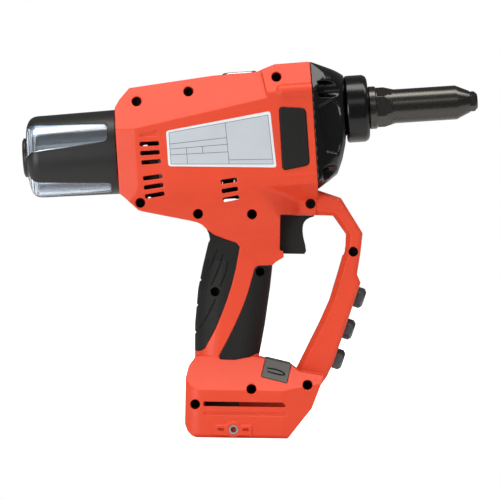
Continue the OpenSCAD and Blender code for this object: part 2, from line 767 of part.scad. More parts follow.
// Lamp in the top of the foot, between grip and guard
lamp_x = 22.4;
lamp_z = 53.7;
lamp_tilt = 13;
lamp_half_len = 9.4;
lamp_h = 13;
lamp_rise = 0.5;
lamp_wall = 2;
lamp_room_half_w = 9;
lamp_board_edge = 0.5;
led_r = 2.5;
led_h = 4;
module lamp_place() {
    translate([lamp_x, 0, lamp_z]) rotate([0, lamp_tilt, 0]) children();
}
module lamp_room(gap) {
    lamp_place() translate([-lamp_half_len - gap, -far / 4, -lamp_h - gap])
        cube([2 * (lamp_half_len + gap), far / 2, lamp_h + 10]);
}
module shoulder_skin(rise) {
    front_slab(mirrored([[foot_half_w + rise, foot_side_h], [shoulder_half_w + rise, shoulder_z],
        [shoulder_half_w + rise, far / 2]]), 0, 60);
}
module lamp_cover() {
    color("#5a5a56") difference() {
        intersection() {
            lamp_place() translate([-lamp_half_len, -far / 4, -lamp_h])
                cube([2 * lamp_half_len, far / 2, lamp_h + lamp_rise]);
            shoulder_skin(lamp_rise);
        }
        lamp_place() translate([lamp_wall - lamp_half_len, -lamp_room_half_w, -lamp_h - 1])
            cube([2 * (lamp_half_len - lamp_wall), 2 * lamp_room_half_w, lamp_h + 1 - lamp_wall]);
    }
}
module lamp_board() {
    color("#e8e4d0") lamp_place() translate([0, 0, -lamp_h]) {
        translate([lamp_wall + lamp_board_edge - lamp_half_len, lamp_board_edge - lamp_room_half_w, 0])
            cube([2 * (lamp_half_len - lamp_wall - lamp_board_edge), 2 * (lamp_room_half_w - lamp_board_edge),
                board_t]);
        translate([0, 0, board_t]) cylinder(r = led_r, h = led_h);
    }
}

// Spare nosepieces screwed into the front of the guard
spare_shares = [0.173, 0.571, 0.948];
spare_tilt = atan2(guard_face[0][0] - guard_face[1][0], guard_face[0][1] - guard_face[1][1]);
spare_head_r = 7.4;
spare_head_h = 6.4;
spare_thread_r = 4.4;
spare_thread_len = 9;
module at_spares() {
    for (t = spare_shares) {
        p = on_guard_face(t);
        translate([p[0], 0, p[1]]) rotate([0, spare_tilt, 0]) translate([face_crown, 0, 0]) children();
    }
}
// A hexagon head with a rounded face, along X
module hex_head(from, to, r, face_r) {
    intersection() {
        translate([from, 0, 0]) rotate([0, 90, 0]) cylinder(r = r, h = to - from, $fn = 6);
        turned([[from, 0], [from, r], [to - (r - face_r), r], [to, face_r], [to, 0]]);
    }
}
module spare_nosepieces() {
    color("#4a4c48") at_spares() difference() {
        union() {
            hex_head(0, spare_head_h, spare_head_r, spare_head_r - 2);
            bar(-spare_thread_len, 0, spare_thread_r);
        }
        bar(-far / 4, far / 4, mandrel_hole_r);
    }
}
module spare_holes() {
    at_spares() bar(-spare_thread_len - 1, 5, spare_thread_r + fixed_gap);
}

// Housing halves
front_seat_r = 23.5;
shaft_room_r = 9;
mouth_rim = 2.5;
mouth_bore_r = container_r - mouth_rim;
module housing_shell() {
    difference() {
        union() {
            barrel_frame() body_form(0, neck_low);
            grip_form(0);
            guard_form();
            foot_form();
            ridges();
            hook_bosses();
        }
        difference() {
            union() {
                barrel_frame() body_form(wall, neck_room_low);
                grip_form(grip_wall);
                board_room();
            }
            ridges();
            ribs();
            screw_posts();
            bail_bed();
            switch_ribs();
        }
        difference() {
            pad_zones();
            handle_core(pad_t);
        }
        barrel_frame() {
            bar(-wall - 1, 1, front_seat_r);
            translate([0, 0, -motor_drop]) bar(-wall - 1, 1, shaft_room_r);
            translate([0, 0, -container_drop]) bar(-body_len - 1, bulkhead_rear - 2, mouth_bore_r);
        }
        at_front_screws() bar(-front_shank_len - 1, 1, front_shank_r + fixed_gap);
        trigger_slot();
        battery_bay();
        terminal_hole(0);
        lamp_room(fixed_gap);
        spare_holes();
        side_recesses();
        vents();
        bail_groove();
        hook_holes();
        screw_holes();
    }
}
module right_housing() { color(orange) half(-1) housing_shell(); }
module left_housing() { color(orange) half(1) housing_shell(); }

// Cast front housing: rounded slices [place, low, high, narrower than the housing by]
front_slices = [[9, -50.2, 31, 2.4], [14.8, -46, 29, 5.2], [19, -36, 27, 8.5], [22, -25, 25.2, 11.4],
    [23.8, -10, 22, 16]];
front_corner = 17;
spigot_r = 18.5;
spigot_end = 31;
passage_r = 12.2;
front_pocket = [[4, 2], [14, 7], [19, 2], [21, -18], [16, -33], [7, -30]];
front_pocket_in = 10;
front_pocket_half_w = body_half_w - front_pocket_in;
front_room_end = 3.8;
bush_depth = 7;
output_r = 5;
module front_housing() {
    color(black_cast) barrel_frame() difference() {
        union() {
            hull() {
                front_slab(mirrored([[bar_half_w, belly_front], [body_half_w, chin_start + 1],
                    [body_half_w, facet_start], [facet_top_half_w, block_top]]), 0, 0.2);
                for (f = front_slices, s = sides, e = [0, 1]) {
                    w = body_half_w - f[3];
                    r = min(front_corner, w - 1);
                    translate([f[0] - 0.2, s * (w - r), e == 0 ? f[1] + r : f[2] - r])
                        rotate([0, 90, 0]) cylinder(r = r, h = 0.2, $fn = 32);
                }
            }
            bar(20, spigot_end, spigot_r);
            bar(-wall, 1, front_seat_r - fixed_gap);
        }
        bar(-wall - 1, front_room_end, front_bearing_r + 4);
        bar(front_room_end - 1, front_bearing_to + 0.2, front_bearing_r + fixed_gap);
        bar(front_bearing_to - 1, spigot_end + 1, passage_r);
        translate([0, 0, -motor_drop]) bar(-1, bush_depth, output_r + run_gap);
        both_sides() {
            side_slab(front_pocket, front_pocket_half_w, far);
            for (p = front_screw_places) translate([0, p[0], p[1]]) {
                bar(front_ear_t, far / 4, front_head_r + 2);
                bar(-1, far / 4, front_shank_r + fixed_gap);
            }
        }
    }
}

// Nose: collar nut over the casting's spigot, holding the flange of the sleeve
flange_t = 3.4;
flange_r = 17.8;
collar_rear = 24;
collar_front = 40;
collar_edge = 3.4;
lock_nut_w = 6;
lock_nut_r = 15.3;
lock_nut_edge = 0.8;
hex_cut = 1.8;
taper_from = 51.5;
taper_to = 59;
tip_cone_len = 10;
tip_cone_r = 7.7;
tip_thread_r = 4.4;
tip_head_len = 5.5;
tip_r = 7.2;
tip_edge = 2.2;
module collar_nut() {
    color(black_cast) barrel_frame() difference() {
        turned([[collar_rear, 0], [collar_rear, collar_r - 1], [collar_rear + 1, collar_r],
            [collar_front - collar_edge, collar_r], [collar_front - 1, collar_r - collar_edge / 3],
            [collar_front, collar_r - collar_edge], [collar_front, 0]]);
        bar(collar_rear - 1, spigot_end + flange_t + fixed_gap, spigot_r + fixed_gap);
        bar(spigot_end, collar_front + 1, sleeve_base_r + fixed_gap);
    }
}
module lock_nut() {
    rear = collar_front + slide_gap;
    front = collar_front + lock_nut_w;
    color(dark_steel) barrel_frame() difference() {
        turned([[rear, 0], [rear, lock_nut_r - lock_nut_edge], [rear + lock_nut_edge, lock_nut_r],
            [front - lock_nut_edge, lock_nut_r], [front, lock_nut_r - lock_nut_edge], [front, 0]]);
        bar(collar_front - 1, front + 1, sleeve_base_r + fixed_gap);
    }
}
module nose_sleeve() {
    hex_r = 2 * (sleeve_base_r - hex_cut) / sqrt(3);
    tip = sleeve_front + tip_cone_len;
    color(dark_steel) barrel_frame() difference() {
        union() {
            bar(spigot_end + fixed_gap, spigot_end + flange_t, flange_r);
            bar(spigot_end + 1, collar_front + lock_nut_w + 0.4, sleeve_base_r);
            intersection() {
                turned([[collar_front, 0], [collar_front, sleeve_base_r], [taper_from, sleeve_base_r],
                    [taper_to, sleeve_r], [sleeve_front, sleeve_r], [tip, tip_cone_r], [tip, 0]]);
                union() {
                    translate([collar_front, 0, 0]) rotate([0, 90, 0])
                        cylinder(r = hex_r, h = taper_to - collar_front + 2, $fn = 6);
                    bar(taper_to - 3, tip + 1, sleeve_base_r);
                }
            }
        }
        bar(spigot_end - 1, sleeve_front + 1, sleeve_bore_r);
        bar(sleeve_front, sleeve_front + tip_cone_len + 1, tip_thread_r + fixed_gap);
    }
}
module nosepiece() {
    tip = sleeve_front + tip_cone_len;
    color(dark_steel) barrel_frame() difference() {
        union() {
            hex_head(tip + fixed_gap, tip + tip_head_len, tip_r, tip_r - tip_edge);
            bar(tip - tip_cone_len + 1, tip + 1, tip_thread_r);
        }
        bar(0, far, mandrel_hole_r);
    }
}

// Gears: an involute outline with the given tooth height over and under the pitch circle
pressure_angle = 25;
tooth_top = 0.85;
tooth_root = 1.15;
flank_steps = 4;
function involute(angle) = tan(angle) * 180 / PI - angle;
function tooth_half_angle(r, teeth, thin) =
    let (pitch_r = gear_module * teeth / 2, base_r = pitch_r * cos(pressure_angle))
    90 / teeth - thin / (2 * pitch_r) * 180 / PI + involute(pressure_angle)
        - involute(acos(min(1, base_r / r)));
function gear_outline(teeth, top, root, thin) =
    let (pitch_r = gear_module * teeth / 2, base_r = pitch_r * cos(pressure_angle),
        tip_at = pitch_r + top * gear_module, root_at = pitch_r - root * gear_module,
        foot_at = max(base_r, root_at),
        radii = [for (i = [0 : flank_steps]) foot_at + (tip_at - foot_at) * i / flank_steps],
        turns = [for (r = radii) tooth_half_angle(r, teeth, thin)])
    [for (i = [0 : teeth - 1]) let (mid = 360 * i / teeth) each concat(
        foot_at > root_at ? [polar(root_at, mid - turns[0])] : [],
        [for (k = [0 : flank_steps]) polar(radii[k], mid - turns[k])],
        [for (k = [flank_steps : -1 : 0]) polar(radii[k], mid + turns[k])],
        foot_at > root_at ? [polar(root_at, mid + turns[0])] : [])];
module gear(teeth, from, to, turn) {
    disc_slab(from, to) rotate(turn) polygon(gear_outline(teeth, tooth_top, tooth_root, backlash));
}
ring_teeth = sun_teeth + 2 * planet_teeth;
planet_orbit = gear_module * (sun_teeth + planet_teeth) / 2;
planet_angles = [90, 210, 330];
mesh_rear = ring_rear + 4;
mesh_w = 15;
ring_wall = 2.6;
planet_pin_r = 2.5;
carrier_plate_from = mesh_rear + mesh_w + 1;
carrier_plate_t = 5;
carrier_r = 19;
carrier_bearing_r = 11;

// Places inside the motor are shares of its length, from the rear
function along_motor(from, to) = [motor_rear + from * motor_len, motor_rear + to * motor_len];
case_wall = 1.5;
case_slots = 6;
case_slot_w = 10;
case_slot = along_motor(0.79, 0.95);
module motor_case() {
    color("#6d7074") motor_frame() difference() {
        tube(motor_rear, motor_front, motor_r, motor_r - case_wall);
        for (i = [1 : case_slots]) rotate([i * 360 / case_slots, 0, 0])
            translate([case_slot[0], -case_slot_w / 2, 0])
                cube([case_slot[1] - case_slot[0], case_slot_w, far]);
    }
}
case_bore = motor_r - case_wall - fixed_gap;
armature_r = 14;
air_gap = 0.8;
magnet_ends = along_motor(0.18, 0.71);
magnet_side = 4;
module motor_magnets() {
    color("#3a3a3e") motor_frame() both_sides() intersection() {
        tube(magnet_ends[0], magnet_ends[1], case_bore, armature_r + air_gap);
        translate([-far, magnet_side, -far]) cube([far * 2, far, far * 2]);
    }
}
cap_spigot = 5;
cap_wall = 2;
cap_vent = [8, 7];
cap_vent_from = 11;
bearing_w = 5;
module motor_end_cap() {
    color("#23262a") motor_frame() difference() {
        union() {
            bar(cap_rear, motor_rear, motor_r);
            bar(motor_rear - 1, motor_rear + cap_spigot, case_bore);
        }
        bar(motor_rear, motor_rear + cap_spigot + 1, case_bore - cap_wall);
        bar(cap_rear - 1, cap_rear + bearing_w, rotor_bearing_r + fixed_gap);
        bar(cap_rear, motor_rear + 1, rotor_r + cap_wall);
        for (t = [45 : 90 : 315]) rotate([t, 0, 0]) translate([cap_rear - 1, -cap_vent[0] / 2, cap_vent_from])
            cube([cap_t + 2, cap_vent[0], cap_vent[1]]);
    }
}
module rotor_bearings() {
    color(steel) motor_frame() {
        tube(cap_rear, cap_rear + bearing_w, rotor_bearing_r, rotor_r + run_gap);
        tube(motor_front, ring_rear, rotor_bearing_r, rotor_r + run_gap);
    }
}
module plate_shape(nut_side_r) {
    translate([0, -motor_drop]) circle(r = ring_r);
    circle(r = nut_side_r);
    translate([-nut_side_r, -motor_drop]) square([2 * nut_side_r, motor_drop]);
}
rail_inner_y = key_r + slide_gap;
rail_t = 5;
rail_half_h = 5;
ear_half_h = 2.6;
ear_reach = 14;
screw_rear = -72;
key_w = 7;
rail_rear = screw_rear - stroke - 2;
module motor_plate() {
    color("#8d9094") barrel_frame() disc_slab(motor_front, ring_rear) difference() {
        plate_shape(rail_inner_y + rail_t + 1);
        circle(r = screw_r + 2 * slide_gap);
        translate([0, -motor_drop]) circle(r = rotor_bearing_r + fixed_gap);
    }
}
module bearing_plate() {
    color("#8d9094") barrel_frame() disc_slab(plate_rear, plate_front) difference() {
        plate_shape(plate_nut_r);
        circle(r = nut_bearing_r + fixed_gap);
        translate([0, -motor_drop]) circle(r = carrier_bearing_r + fixed_gap);
    }
}
module ring_gear() {
    color("#54575b") motor_frame() difference() {
        bar(ring_rear, plate_rear, ring_r);
        disc_slab(mesh_rear - 1, mesh_rear + mesh_w + 1) rotate(planet_angles[0])
            polygon(gear_outline(ring_teeth, tooth_root, tooth_top, -backlash));
        bar(ring_rear - 1, mesh_rear, ring_r - ring_wall);
        bar(mesh_rear + mesh_w, plate_rear + 1, ring_r - ring_wall);
    }
}
module carrier_bearing() {
    color(steel) motor_frame() tube(plate_rear, plate_front, carrier_bearing_r, output_r + run_gap);
}
module nut_bearings() {
    color(steel) barrel_frame() {
        tube(plate_rear, plate_front, nut_bearing_r, nut_end_r + run_gap);
        tube(front_bearing_from, front_bearing_to, front_bearing_r, nut_end_r + run_gap);
    }
}
module guide_rails() {
    color(steel) barrel_frame() both_sides() difference() {
        translate([rail_rear, rail_inner_y, -rail_half_h])
            cube([motor_front - rail_rear, rail_t, 2 * rail_half_h]);
        translate([rail_rear - 1, 0, -ear_half_h - slide_gap])
            cube([motor_front - rail_rear - 4, ear_reach + slide_gap, 2 * (ear_half_h + slide_gap)]);
    }
}
tube_front = -16;
tube_end = 2.5;
tube_rear = tube_end - body_len;
module mandrel_tube() {
    color(steel) barrel_frame() tube(tube_rear, tube_front, tube_r, tube_bore_r);
}

// Rotor
module rotor_shaft() {
    color(steel) motor_frame() bar(cap_rear + 0.5, mesh_rear + mesh_w, rotor_r);
}
armature_ends = along_motor(0.24, 0.65);
armature_poles = 7;
wire_slot = [3.6, 4.4];
wire_slot_from = 9;
wire_slot_mouth = 1.6;
module armature() {
    color("#8a5a3a") motor_frame() disc_slab(armature_ends[0], armature_ends[1]) difference() {
        circle(r = armature_r);
        circle(r = rotor_r + fixed_gap);
        for (i = [0 : armature_poles - 1]) rotate(i * 360 / armature_poles) {
            translate([wire_slot_from, -wire_slot[1] / 2]) square(wire_slot);
            translate([wire_slot_from + 1, -wire_slot_mouth / 2]) square([armature_r, wire_slot_mouth]);
        }
    }
}
commutator_r = 7;
commutator_ends = along_motor(0.04, 0.17);
module commutator() {
    color("#b8703c") motor_frame()
        tube(commutator_ends[0], commutator_ends[1], commutator_r, rotor_r + fixed_gap);
}
fan_ends = along_motor(0.8, 0.94);
fan_from = fan_ends[0];
fan_w = fan_ends[1] - fan_from;
fan_r = motor_r - 3;
fan_hub_r = 6.5;
fan_disc_t = 1.5;
fan_blades = 9;
fan_blade_t = 1.4;
module cooling_fan() {
    color("#1d2733") motor_frame() difference() {
        union() {
            bar(fan_from, fan_from + fan_w, fan_hub_r);
            bar(fan_from, fan_from + fan_disc_t, fan_r);
            for (i = [1 : fan_blades]) rotate([i * 360 / fan_blades, 0, 0])
                translate([fan_from + fan_disc_t / 2, -fan_blade_t / 2, fan_hub_r - 1])
                    cube([fan_w - fan_disc_t / 2, fan_blade_t, fan_r - fan_hub_r]);
        }
        bar(fan_from - 1, fan_from + fan_w + 1, rotor_r + fixed_gap);
    }
}
module sun_pinion() {
    color(dark_steel) motor_frame() difference() {
        gear(sun_teeth, mesh_rear, mesh_rear + mesh_w, planet_angles[0]);
        bar(-far, far, rotor_r + fixed_gap);
    }
}

// Planet stage
module planet_gear(k) {
    color("#9a9da2") motor_frame() rotate([planet_angles[k], 0, 0]) translate([0, planet_orbit, 0])
        difference() {
            gear(planet_teeth, mesh_rear, mesh_rear + mesh_w, 0);
            bar(-far, far, planet_pin_r + run_gap);
        }
}
module planet_gear_1() { planet_gear(0); }
module planet_gear_2() { planet_gear(1); }
module planet_gear_3() { planet_gear(2); }
module planet_carrier() {
    color("#7a7d82") motor_frame() {
        bar(carrier_plate_from, carrier_plate_from + carrier_plate_t, carrier_r);
        bar(carrier_plate_from, bush_depth - 0.5, output_r);
        for (t = planet_angles) rotate([t, 0, 0]) translate([0, planet_orbit, 0])
            bar(mesh_rear - 0.5, carrier_plate_from + 1, planet_pin_r);
    }
}
module drive_gear() {
    color("#9a9da2") motor_frame() difference() {
        gear(drive_teeth, gear_front - gear_w, gear_front, 90);
        bar(-far, far, output_r + fixed_gap);
    }
}

// Ball nut and its gear
module ball_nut() {
    color("#a5a8ad") barrel_frame() difference() {
        union() {
            bar(nut_rear, nut_front, nut_end_r);
            bar(plate_front + slide_gap, front_bearing_from - slide_gap, nut_r);
        }
        bar(-far, far, screw_r + run_gap);
    }
}
module nut_gear() {
    color("#9a9da2") barrel_frame() difference() {
        gear(nut_teeth, gear_front - gear_w, gear_front, 180 / nut_teeth - 90);
        bar(-far, far, nut_r + fixed_gap);
    }
}

// Puller: hollow ball screw with the jaw case on its front end
screw_front = 40;
rod_r = 6;
rod_front = 54;
case_rear = 44;
case_front = 99;
case_r = sleeve_bore_r - slide_gap;
case_bore_r = 7.6;
cone_from = 76;
cone_front_r = 4.4;
case_edge = [3, 2];
jaws_n = 3;
jaw_gap = 0.5;
jaw_from = cone_from + 0.5;
jaw_to = 96;
module ball_screw() {
    color(steel) barrel_frame() difference() {
        union() {
            bar(screw_rear, screw_front, screw_r);
            bar(screw_front - 1, rod_front, rod_r);
        }
        bar(-far, far, screw_bore_r);
    }
}
module guide_key() {
    color(brass) barrel_frame() difference() {
        union() {
            bar(screw_rear, screw_rear + key_w, key_r);
            translate([screw_rear, -ear_reach, -ear_half_h]) cube([key_w, 2 * ear_reach, 2 * ear_half_h]);
        }
        bar(-far, far, screw_r + fixed_gap);
    }
}
function cone_r(a) = case_bore_r + (cone_front_r - case_bore_r) * (a - cone_from) / (case_front - cone_from);
module jaw_case() {
    color(dark_steel) barrel_frame() difference() {
        turned([[case_rear, 0], [case_rear, case_r], [case_front - case_edge[0], case_r],
            [case_front, case_r - case_edge[1]], [case_front, 0]]);
        bar(case_rear - 1, rod_front, rod_r + fixed_gap);
        bar(rod_front - 1, cone_from, case_bore_r);
        turned([[cone_from - 0.5, 0], [cone_from - 0.5, case_bore_r], [cone_from, case_bore_r],
            [case_front, cone_front_r], [case_front + 1, cone_front_r], [case_front + 1, 0]]);
    }
}
module jaws() {
    color(steel) barrel_frame() for (i = [1 : jaws_n]) rotate([i * 360 / jaws_n, 0, 0]) intersection() {
        difference() {
            turned([[jaw_from, 0], [jaw_from, cone_r(jaw_from) - fixed_gap],
                [jaw_to, cone_r(jaw_to) - fixed_gap], [jaw_to, 0]]);
            bar(jaw_from - 1, jaw_to + 1, mandrel_hole_r + slide_gap);
        }
        front_slab([for (p = [[0, 0], polar(case_r, 30), polar(2 * case_r, 90), polar(case_r, 150)])
            p + [0, jaw_gap]], jaw_from - 1, jaw_to + 1);
    }
}
pusher_flange_from = 66;
pusher_flange_t = 3;
pusher_r = 5;
module jaw_pusher() {
    color(steel) barrel_frame() difference() {
        union() {
            bar(pusher_flange_from, pusher_flange_from + pusher_flange_t, case_bore_r - fixed_gap);
            bar(pusher_flange_from, jaw_from - fixed_gap, pusher_r);
        }
        bar(-far, far, screw_bore_r - 1);
    }
}

// Springs: one unbroken wire wound along X
curl_rings = 8;
wire_sides = 6;
function coil_ring(x, angle, mean_r, wire_r) =
    [for (i = [0 : wire_sides - 1]) let (t = 360 * i / wire_sides, r = mean_r + wire_r * cos(t))
        [x + wire_r * sin(t), r * cos(angle), r * sin(angle)]];
module coil(from, to, curls, mean_r, wire_r) {
    n = curls * curl_rings;
    x0 = from + wire_r;
    x1 = to - wire_r;
    echo(least_gap_between_curls = (x1 - x0) / curls - 2 * wire_r);
    swept([for (k = [0 : n]) coil_ring(x0 + (x1 - x0) * k / n, -360 * k / curl_rings, mean_r, wire_r)]);
}
jaw_wire_r = 0.7;
jaw_curls = 5;
module jaw_spring() {
    color(steel) barrel_frame()
        coil(rod_front, pusher_flange_from, jaw_curls, case_bore_r - jaw_wire_r - slide_gap, jaw_wire_r);
}
spring_pocket_depth = 14;
spring_wire_r = 0.4;
spring_r = 4.2;
spring_curls = 9;
trigger_rear = 12.5;
plunger_z = 142;
plunger_r = 2.5;
plunger_end = -2;
module trigger_spring() {
    color(steel) translate([0, 0, plunger_z])
        coil(switch_front, trigger_rear + spring_pocket_depth, spring_curls, spring_r, spring_wire_r);
}
module switch_body() {
    color("#26282c") difference() {
        translate([switch_back, -switch_half_w, switch_bottom])
            cube([switch_front - switch_back, 2 * switch_half_w, switch_top - switch_bottom]);
        translate([0, 0, plunger_z])
            bar(plunger_end - trigger_travel - 1, switch_front + 1, plunger_r + run_gap);
    }
}

// Trigger with a hollow finger rest
trigger_bottom = slot_floor_z + slide_gap;
trigger_top = bar_bottom_z - slide_gap;
trigger_outline = concat([[trigger_rear, trigger_bottom], [40, trigger_bottom], [41.3, trigger_bottom + 2]],
    curve([40.6, 137], [37.2, 148], [39.5, 153], 6),
    curve([39.5, 153], [41.5, 156.4], [46.8, trigger_top - 0.6], 3),
    [[46.8, trigger_top], [trigger_rear, trigger_top]]);
module trigger() {
    color(rubber) {
        difference() {
            side_slab(trigger_outline, -trigger_half_w, trigger_half_w);
            translate([0, 0, plunger_z])
                bar(trigger_rear - 1, trigger_rear + spring_pocket_depth, spring_r + 1);
        }
        translate([0, 0, plunger_z]) bar(plunger_end, trigger_rear + spring_pocket_depth + 1, plunger_r);
    }
}

// Mandrel container: places run rearward from the housing's rear face, radii from the container axis
spigot_len = 8;
mouth_r = mouth_bore_r - slide_gap;
mouth_wall = 2.2;
shoulder_len = 3;
disc_r = 16;
disc_rise = 3;
window_front = 6;
window_front_half_w = 7.4;
window_rear_half_w = 11.6;
window_corner = 3;
window_angles = [28, 118, 208, 298];
seal_at = -4;
seal_wire_r = 0.6;
seal_r = mouth_bore_r - run_gap - seal_wire_r;
container_taper = 1;
dome_len = 12;
dome_steps = 6;
disc_edge = 2;
dome_top = container_len - disc_rise;
dome_r = container_r - container_taper;
function dome(inset) = curve([dome_r - inset, container_len - dome_len], [dome_r - inset, dome_top - inset],
    [disc_r - disc_edge, dome_top - inset], dome_steps);
function backward(points) = [for (i = [len(points) - 1 : -1 : 0]) points[i]];
module container_turned(points) {
    container_frame_axis() rotate_extrude() polygon(points);
}
window_corner_at = [window_front_half_w - window_corner, window_front + window_corner];
module windows() {
    container_frame_axis() for (t = window_angles) rotate([0, 0, t]) difference() {
        rotate([90, 0, 90]) linear_extrude(far / 4) polygon(concat(
            arc(window_corner_at, window_corner, 270, 360, 4),
            [[window_rear_half_w, container_len + 1], [-window_rear_half_w, container_len + 1]],
            arc([-window_corner_at[0], window_corner_at[1]], window_corner, 180, 270, 4)));
        translate([0, 0, -1]) cylinder(r = disc_r, h = container_len + 3);
    }
}
module container_frame() {
    color(rubber) difference() {
        container_turned(concat(
            [[mouth_r - mouth_wall, -spigot_len], [mouth_r, -spigot_len], [mouth_r, slide_gap],
             [container_r, slide_gap]], dome(0),
            [[disc_r - disc_edge, container_len - 1], [disc_r - 2 * disc_edge, container_len],
             [0, container_len], [0, dome_top - container_wall]],
            backward(dome(container_wall)),
            [[container_r - container_wall, shoulder_len], [mouth_r - mouth_wall, shoulder_len]]));
        windows();
        container_frame_axis() translate([0, 0, seal_at]) rotate_extrude()
            translate([seal_r, 0]) square(2 * (seal_wire_r + fixed_gap), center = true);
    }
}
module container_cup() {
    mouth = shoulder_len + fixed_gap;
    color("#c8d4de", 0.4) container_turned(concat(
        [[container_r - 2 * container_wall, mouth], [container_r - container_wall - fixed_gap, mouth]],
        dome(container_wall + fixed_gap),
        [[0, dome_top - container_wall - fixed_gap], [0, dome_top - 2 * container_wall]],
        backward(dome(2 * container_wall))));
}
module container_seal() {
    color(black_cast) container_frame_axis() translate([0, 0, seal_at]) rotate_extrude()
        translate([seal_r, 0]) circle(r = seal_wire_r);
}

right_housing();
left_housing();
housing_screws();
right_grip_pads();
left_grip_pads();
side_bumpers();
rating_plate();
front_housing();
front_screws();
collar_nut();
lock_nut();
nose_sleeve();
nosepiece();
spare_nosepieces();
lamp_cover();
lamp_board();
hook_inserts();
motor_case();
motor_magnets();
motor_end_cap();
rotor_bearings();
motor_plate();
ring_gear();
bearing_plate();
carrier_bearing();
nut_bearings();
guide_rails();
mandrel_tube();
switch_body();
control_board();
terminal_block();
terminal_blades();
trigger();
trigger_spring();
container_frame();
container_cup();
container_seal();
hang_bail();
rotor_shaft();
armature();
commutator();
cooling_fan();
sun_pinion();
planet_carrier();
drive_gear();
planet_gear_1();
planet_gear_2();
planet_gear_3();
ball_nut();
nut_gear();
ball_screw();
guide_key();
jaw_case();
jaw_pusher();
jaw_spring();
jaws();
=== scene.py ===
# Cordless rivet tool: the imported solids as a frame, dressed with moulded skins and real finishes,
# and shown in a plain studio from the tool's right side.
import json
import math

import bpy
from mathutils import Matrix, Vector


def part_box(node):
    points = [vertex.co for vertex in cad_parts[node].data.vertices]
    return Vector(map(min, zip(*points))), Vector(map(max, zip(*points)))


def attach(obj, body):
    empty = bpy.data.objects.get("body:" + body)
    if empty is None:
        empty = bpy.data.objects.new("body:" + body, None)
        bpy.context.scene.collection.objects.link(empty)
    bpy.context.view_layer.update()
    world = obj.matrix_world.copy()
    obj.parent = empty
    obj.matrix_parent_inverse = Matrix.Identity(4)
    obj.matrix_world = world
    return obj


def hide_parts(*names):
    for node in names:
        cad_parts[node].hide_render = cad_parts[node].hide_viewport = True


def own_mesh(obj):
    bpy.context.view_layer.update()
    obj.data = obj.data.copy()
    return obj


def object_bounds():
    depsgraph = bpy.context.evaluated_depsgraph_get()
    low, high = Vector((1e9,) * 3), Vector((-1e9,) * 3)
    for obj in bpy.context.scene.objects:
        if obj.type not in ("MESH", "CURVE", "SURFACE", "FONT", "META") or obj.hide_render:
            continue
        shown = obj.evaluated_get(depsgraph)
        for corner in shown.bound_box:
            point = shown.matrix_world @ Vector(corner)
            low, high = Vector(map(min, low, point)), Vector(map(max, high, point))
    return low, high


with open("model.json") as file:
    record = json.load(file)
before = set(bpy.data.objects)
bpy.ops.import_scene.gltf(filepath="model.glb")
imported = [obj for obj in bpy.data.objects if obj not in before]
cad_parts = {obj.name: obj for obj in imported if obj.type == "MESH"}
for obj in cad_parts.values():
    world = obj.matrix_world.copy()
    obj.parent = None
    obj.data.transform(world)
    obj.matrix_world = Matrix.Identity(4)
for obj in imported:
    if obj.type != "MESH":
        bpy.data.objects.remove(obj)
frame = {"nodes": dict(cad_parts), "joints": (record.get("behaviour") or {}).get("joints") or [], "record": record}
cad_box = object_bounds()

# Studio: a white paper floor in a tent of white cloth. A wide softbox hangs over the tool and a weaker one
# over the camera, with fills low at both sides and behind. The camera stands far off at the tool's right
# side, rolled by a degree.
MM = 0.001


def linear(code):
    """sRGB hex code to the linear colour that shaders take."""
    parts = [int(code[i:i + 2], 16) / 255 for i in (1, 3, 5)]
    return [c / 12.92 if c <= 0.04045 else ((c + 0.055) / 1.055) ** 2.4 for c in parts] + [1.0]


def add_node(tree, kind, inputs=None, **settings):
    """Adds a node: settings are its own properties, inputs are values or the sockets that feed them."""
    node = tree.nodes.new(kind)
    for key, value in settings.items():
        setattr(node, key, value)
    for socket, value in (inputs or {}).items():
        if isinstance(value, bpy.types.NodeSocket):
            tree.links.new(value, node.inputs[socket])
        else:
            node.inputs[socket].default_value = value
    return node


def new_material(name):
    """An empty material with its Principled shader already wired to the output."""
    material = bpy.data.materials.new(name)
    material.use_nodes = True
    tree = material.node_tree
    tree.nodes.clear()
    shader = add_node(tree, "ShaderNodeBsdfPrincipled")
    add_node(tree, "ShaderNodeOutputMaterial", {"Surface": shader.outputs["BSDF"]})
    return material, tree, shader


def new_piece(name, points, faces, material):
    """A mesh of one material, put into the scene."""
    mesh = bpy.data.meshes.new(name)
    mesh.from_pydata(points, [], faces)
    mesh.materials.append(material)
    piece = bpy.data.objects.new(name, mesh)
    scene.collection.objects.link(piece)
    return piece


scene = bpy.context.scene
scene.view_settings.view_transform = "Standard"

# White paper lit from below, as on a light table: white where it is seen, straight or through the clear
# cup, and a plain pale grey for the light that it throws back.
paper_glow_thrown, paper_glow_seen = 0.06, 0.93
paper, paper_tree, paper_shader = new_material("lit_white_paper")
paper_shader.inputs["Base Color"].default_value = linear("#DCDCDC")
paper_shader.inputs["Roughness"].default_value = 0.9
paper_shader.inputs["Specular IOR Level"].default_value = 0.1
paper_shader.inputs["Emission Color"].default_value = linear("#FFFFFF")
rays = add_node(paper_tree, "ShaderNodeLightPath").outputs
seen = add_node(paper_tree, "ShaderNodeMath", {0: rays["Is Camera Ray"], 1: rays["Is Transmission Ray"]},
                operation="MAXIMUM")
lit = add_node(paper_tree, "ShaderNodeMapRange", {"Value": seen.outputs[0], "To Min": paper_glow_thrown,
                                                  "To Max": paper_glow_seen})
paper_tree.links.new(lit.outputs["Result"], paper_shader.inputs["Emission Strength"])
floor_half, floor_front, floor_drop = 9.0, -0.33, 0.2 * MM
floor = new_piece("studio_floor", [(-floor_half, floor_front, 0), (floor_half, floor_front, 0),
                                   (floor_half, floor_half, 0), (-floor_half, floor_half, 0)],
                  [(0, 1, 2, 3)], paper)
floor.location.z = cad_box[0].z - floor_drop

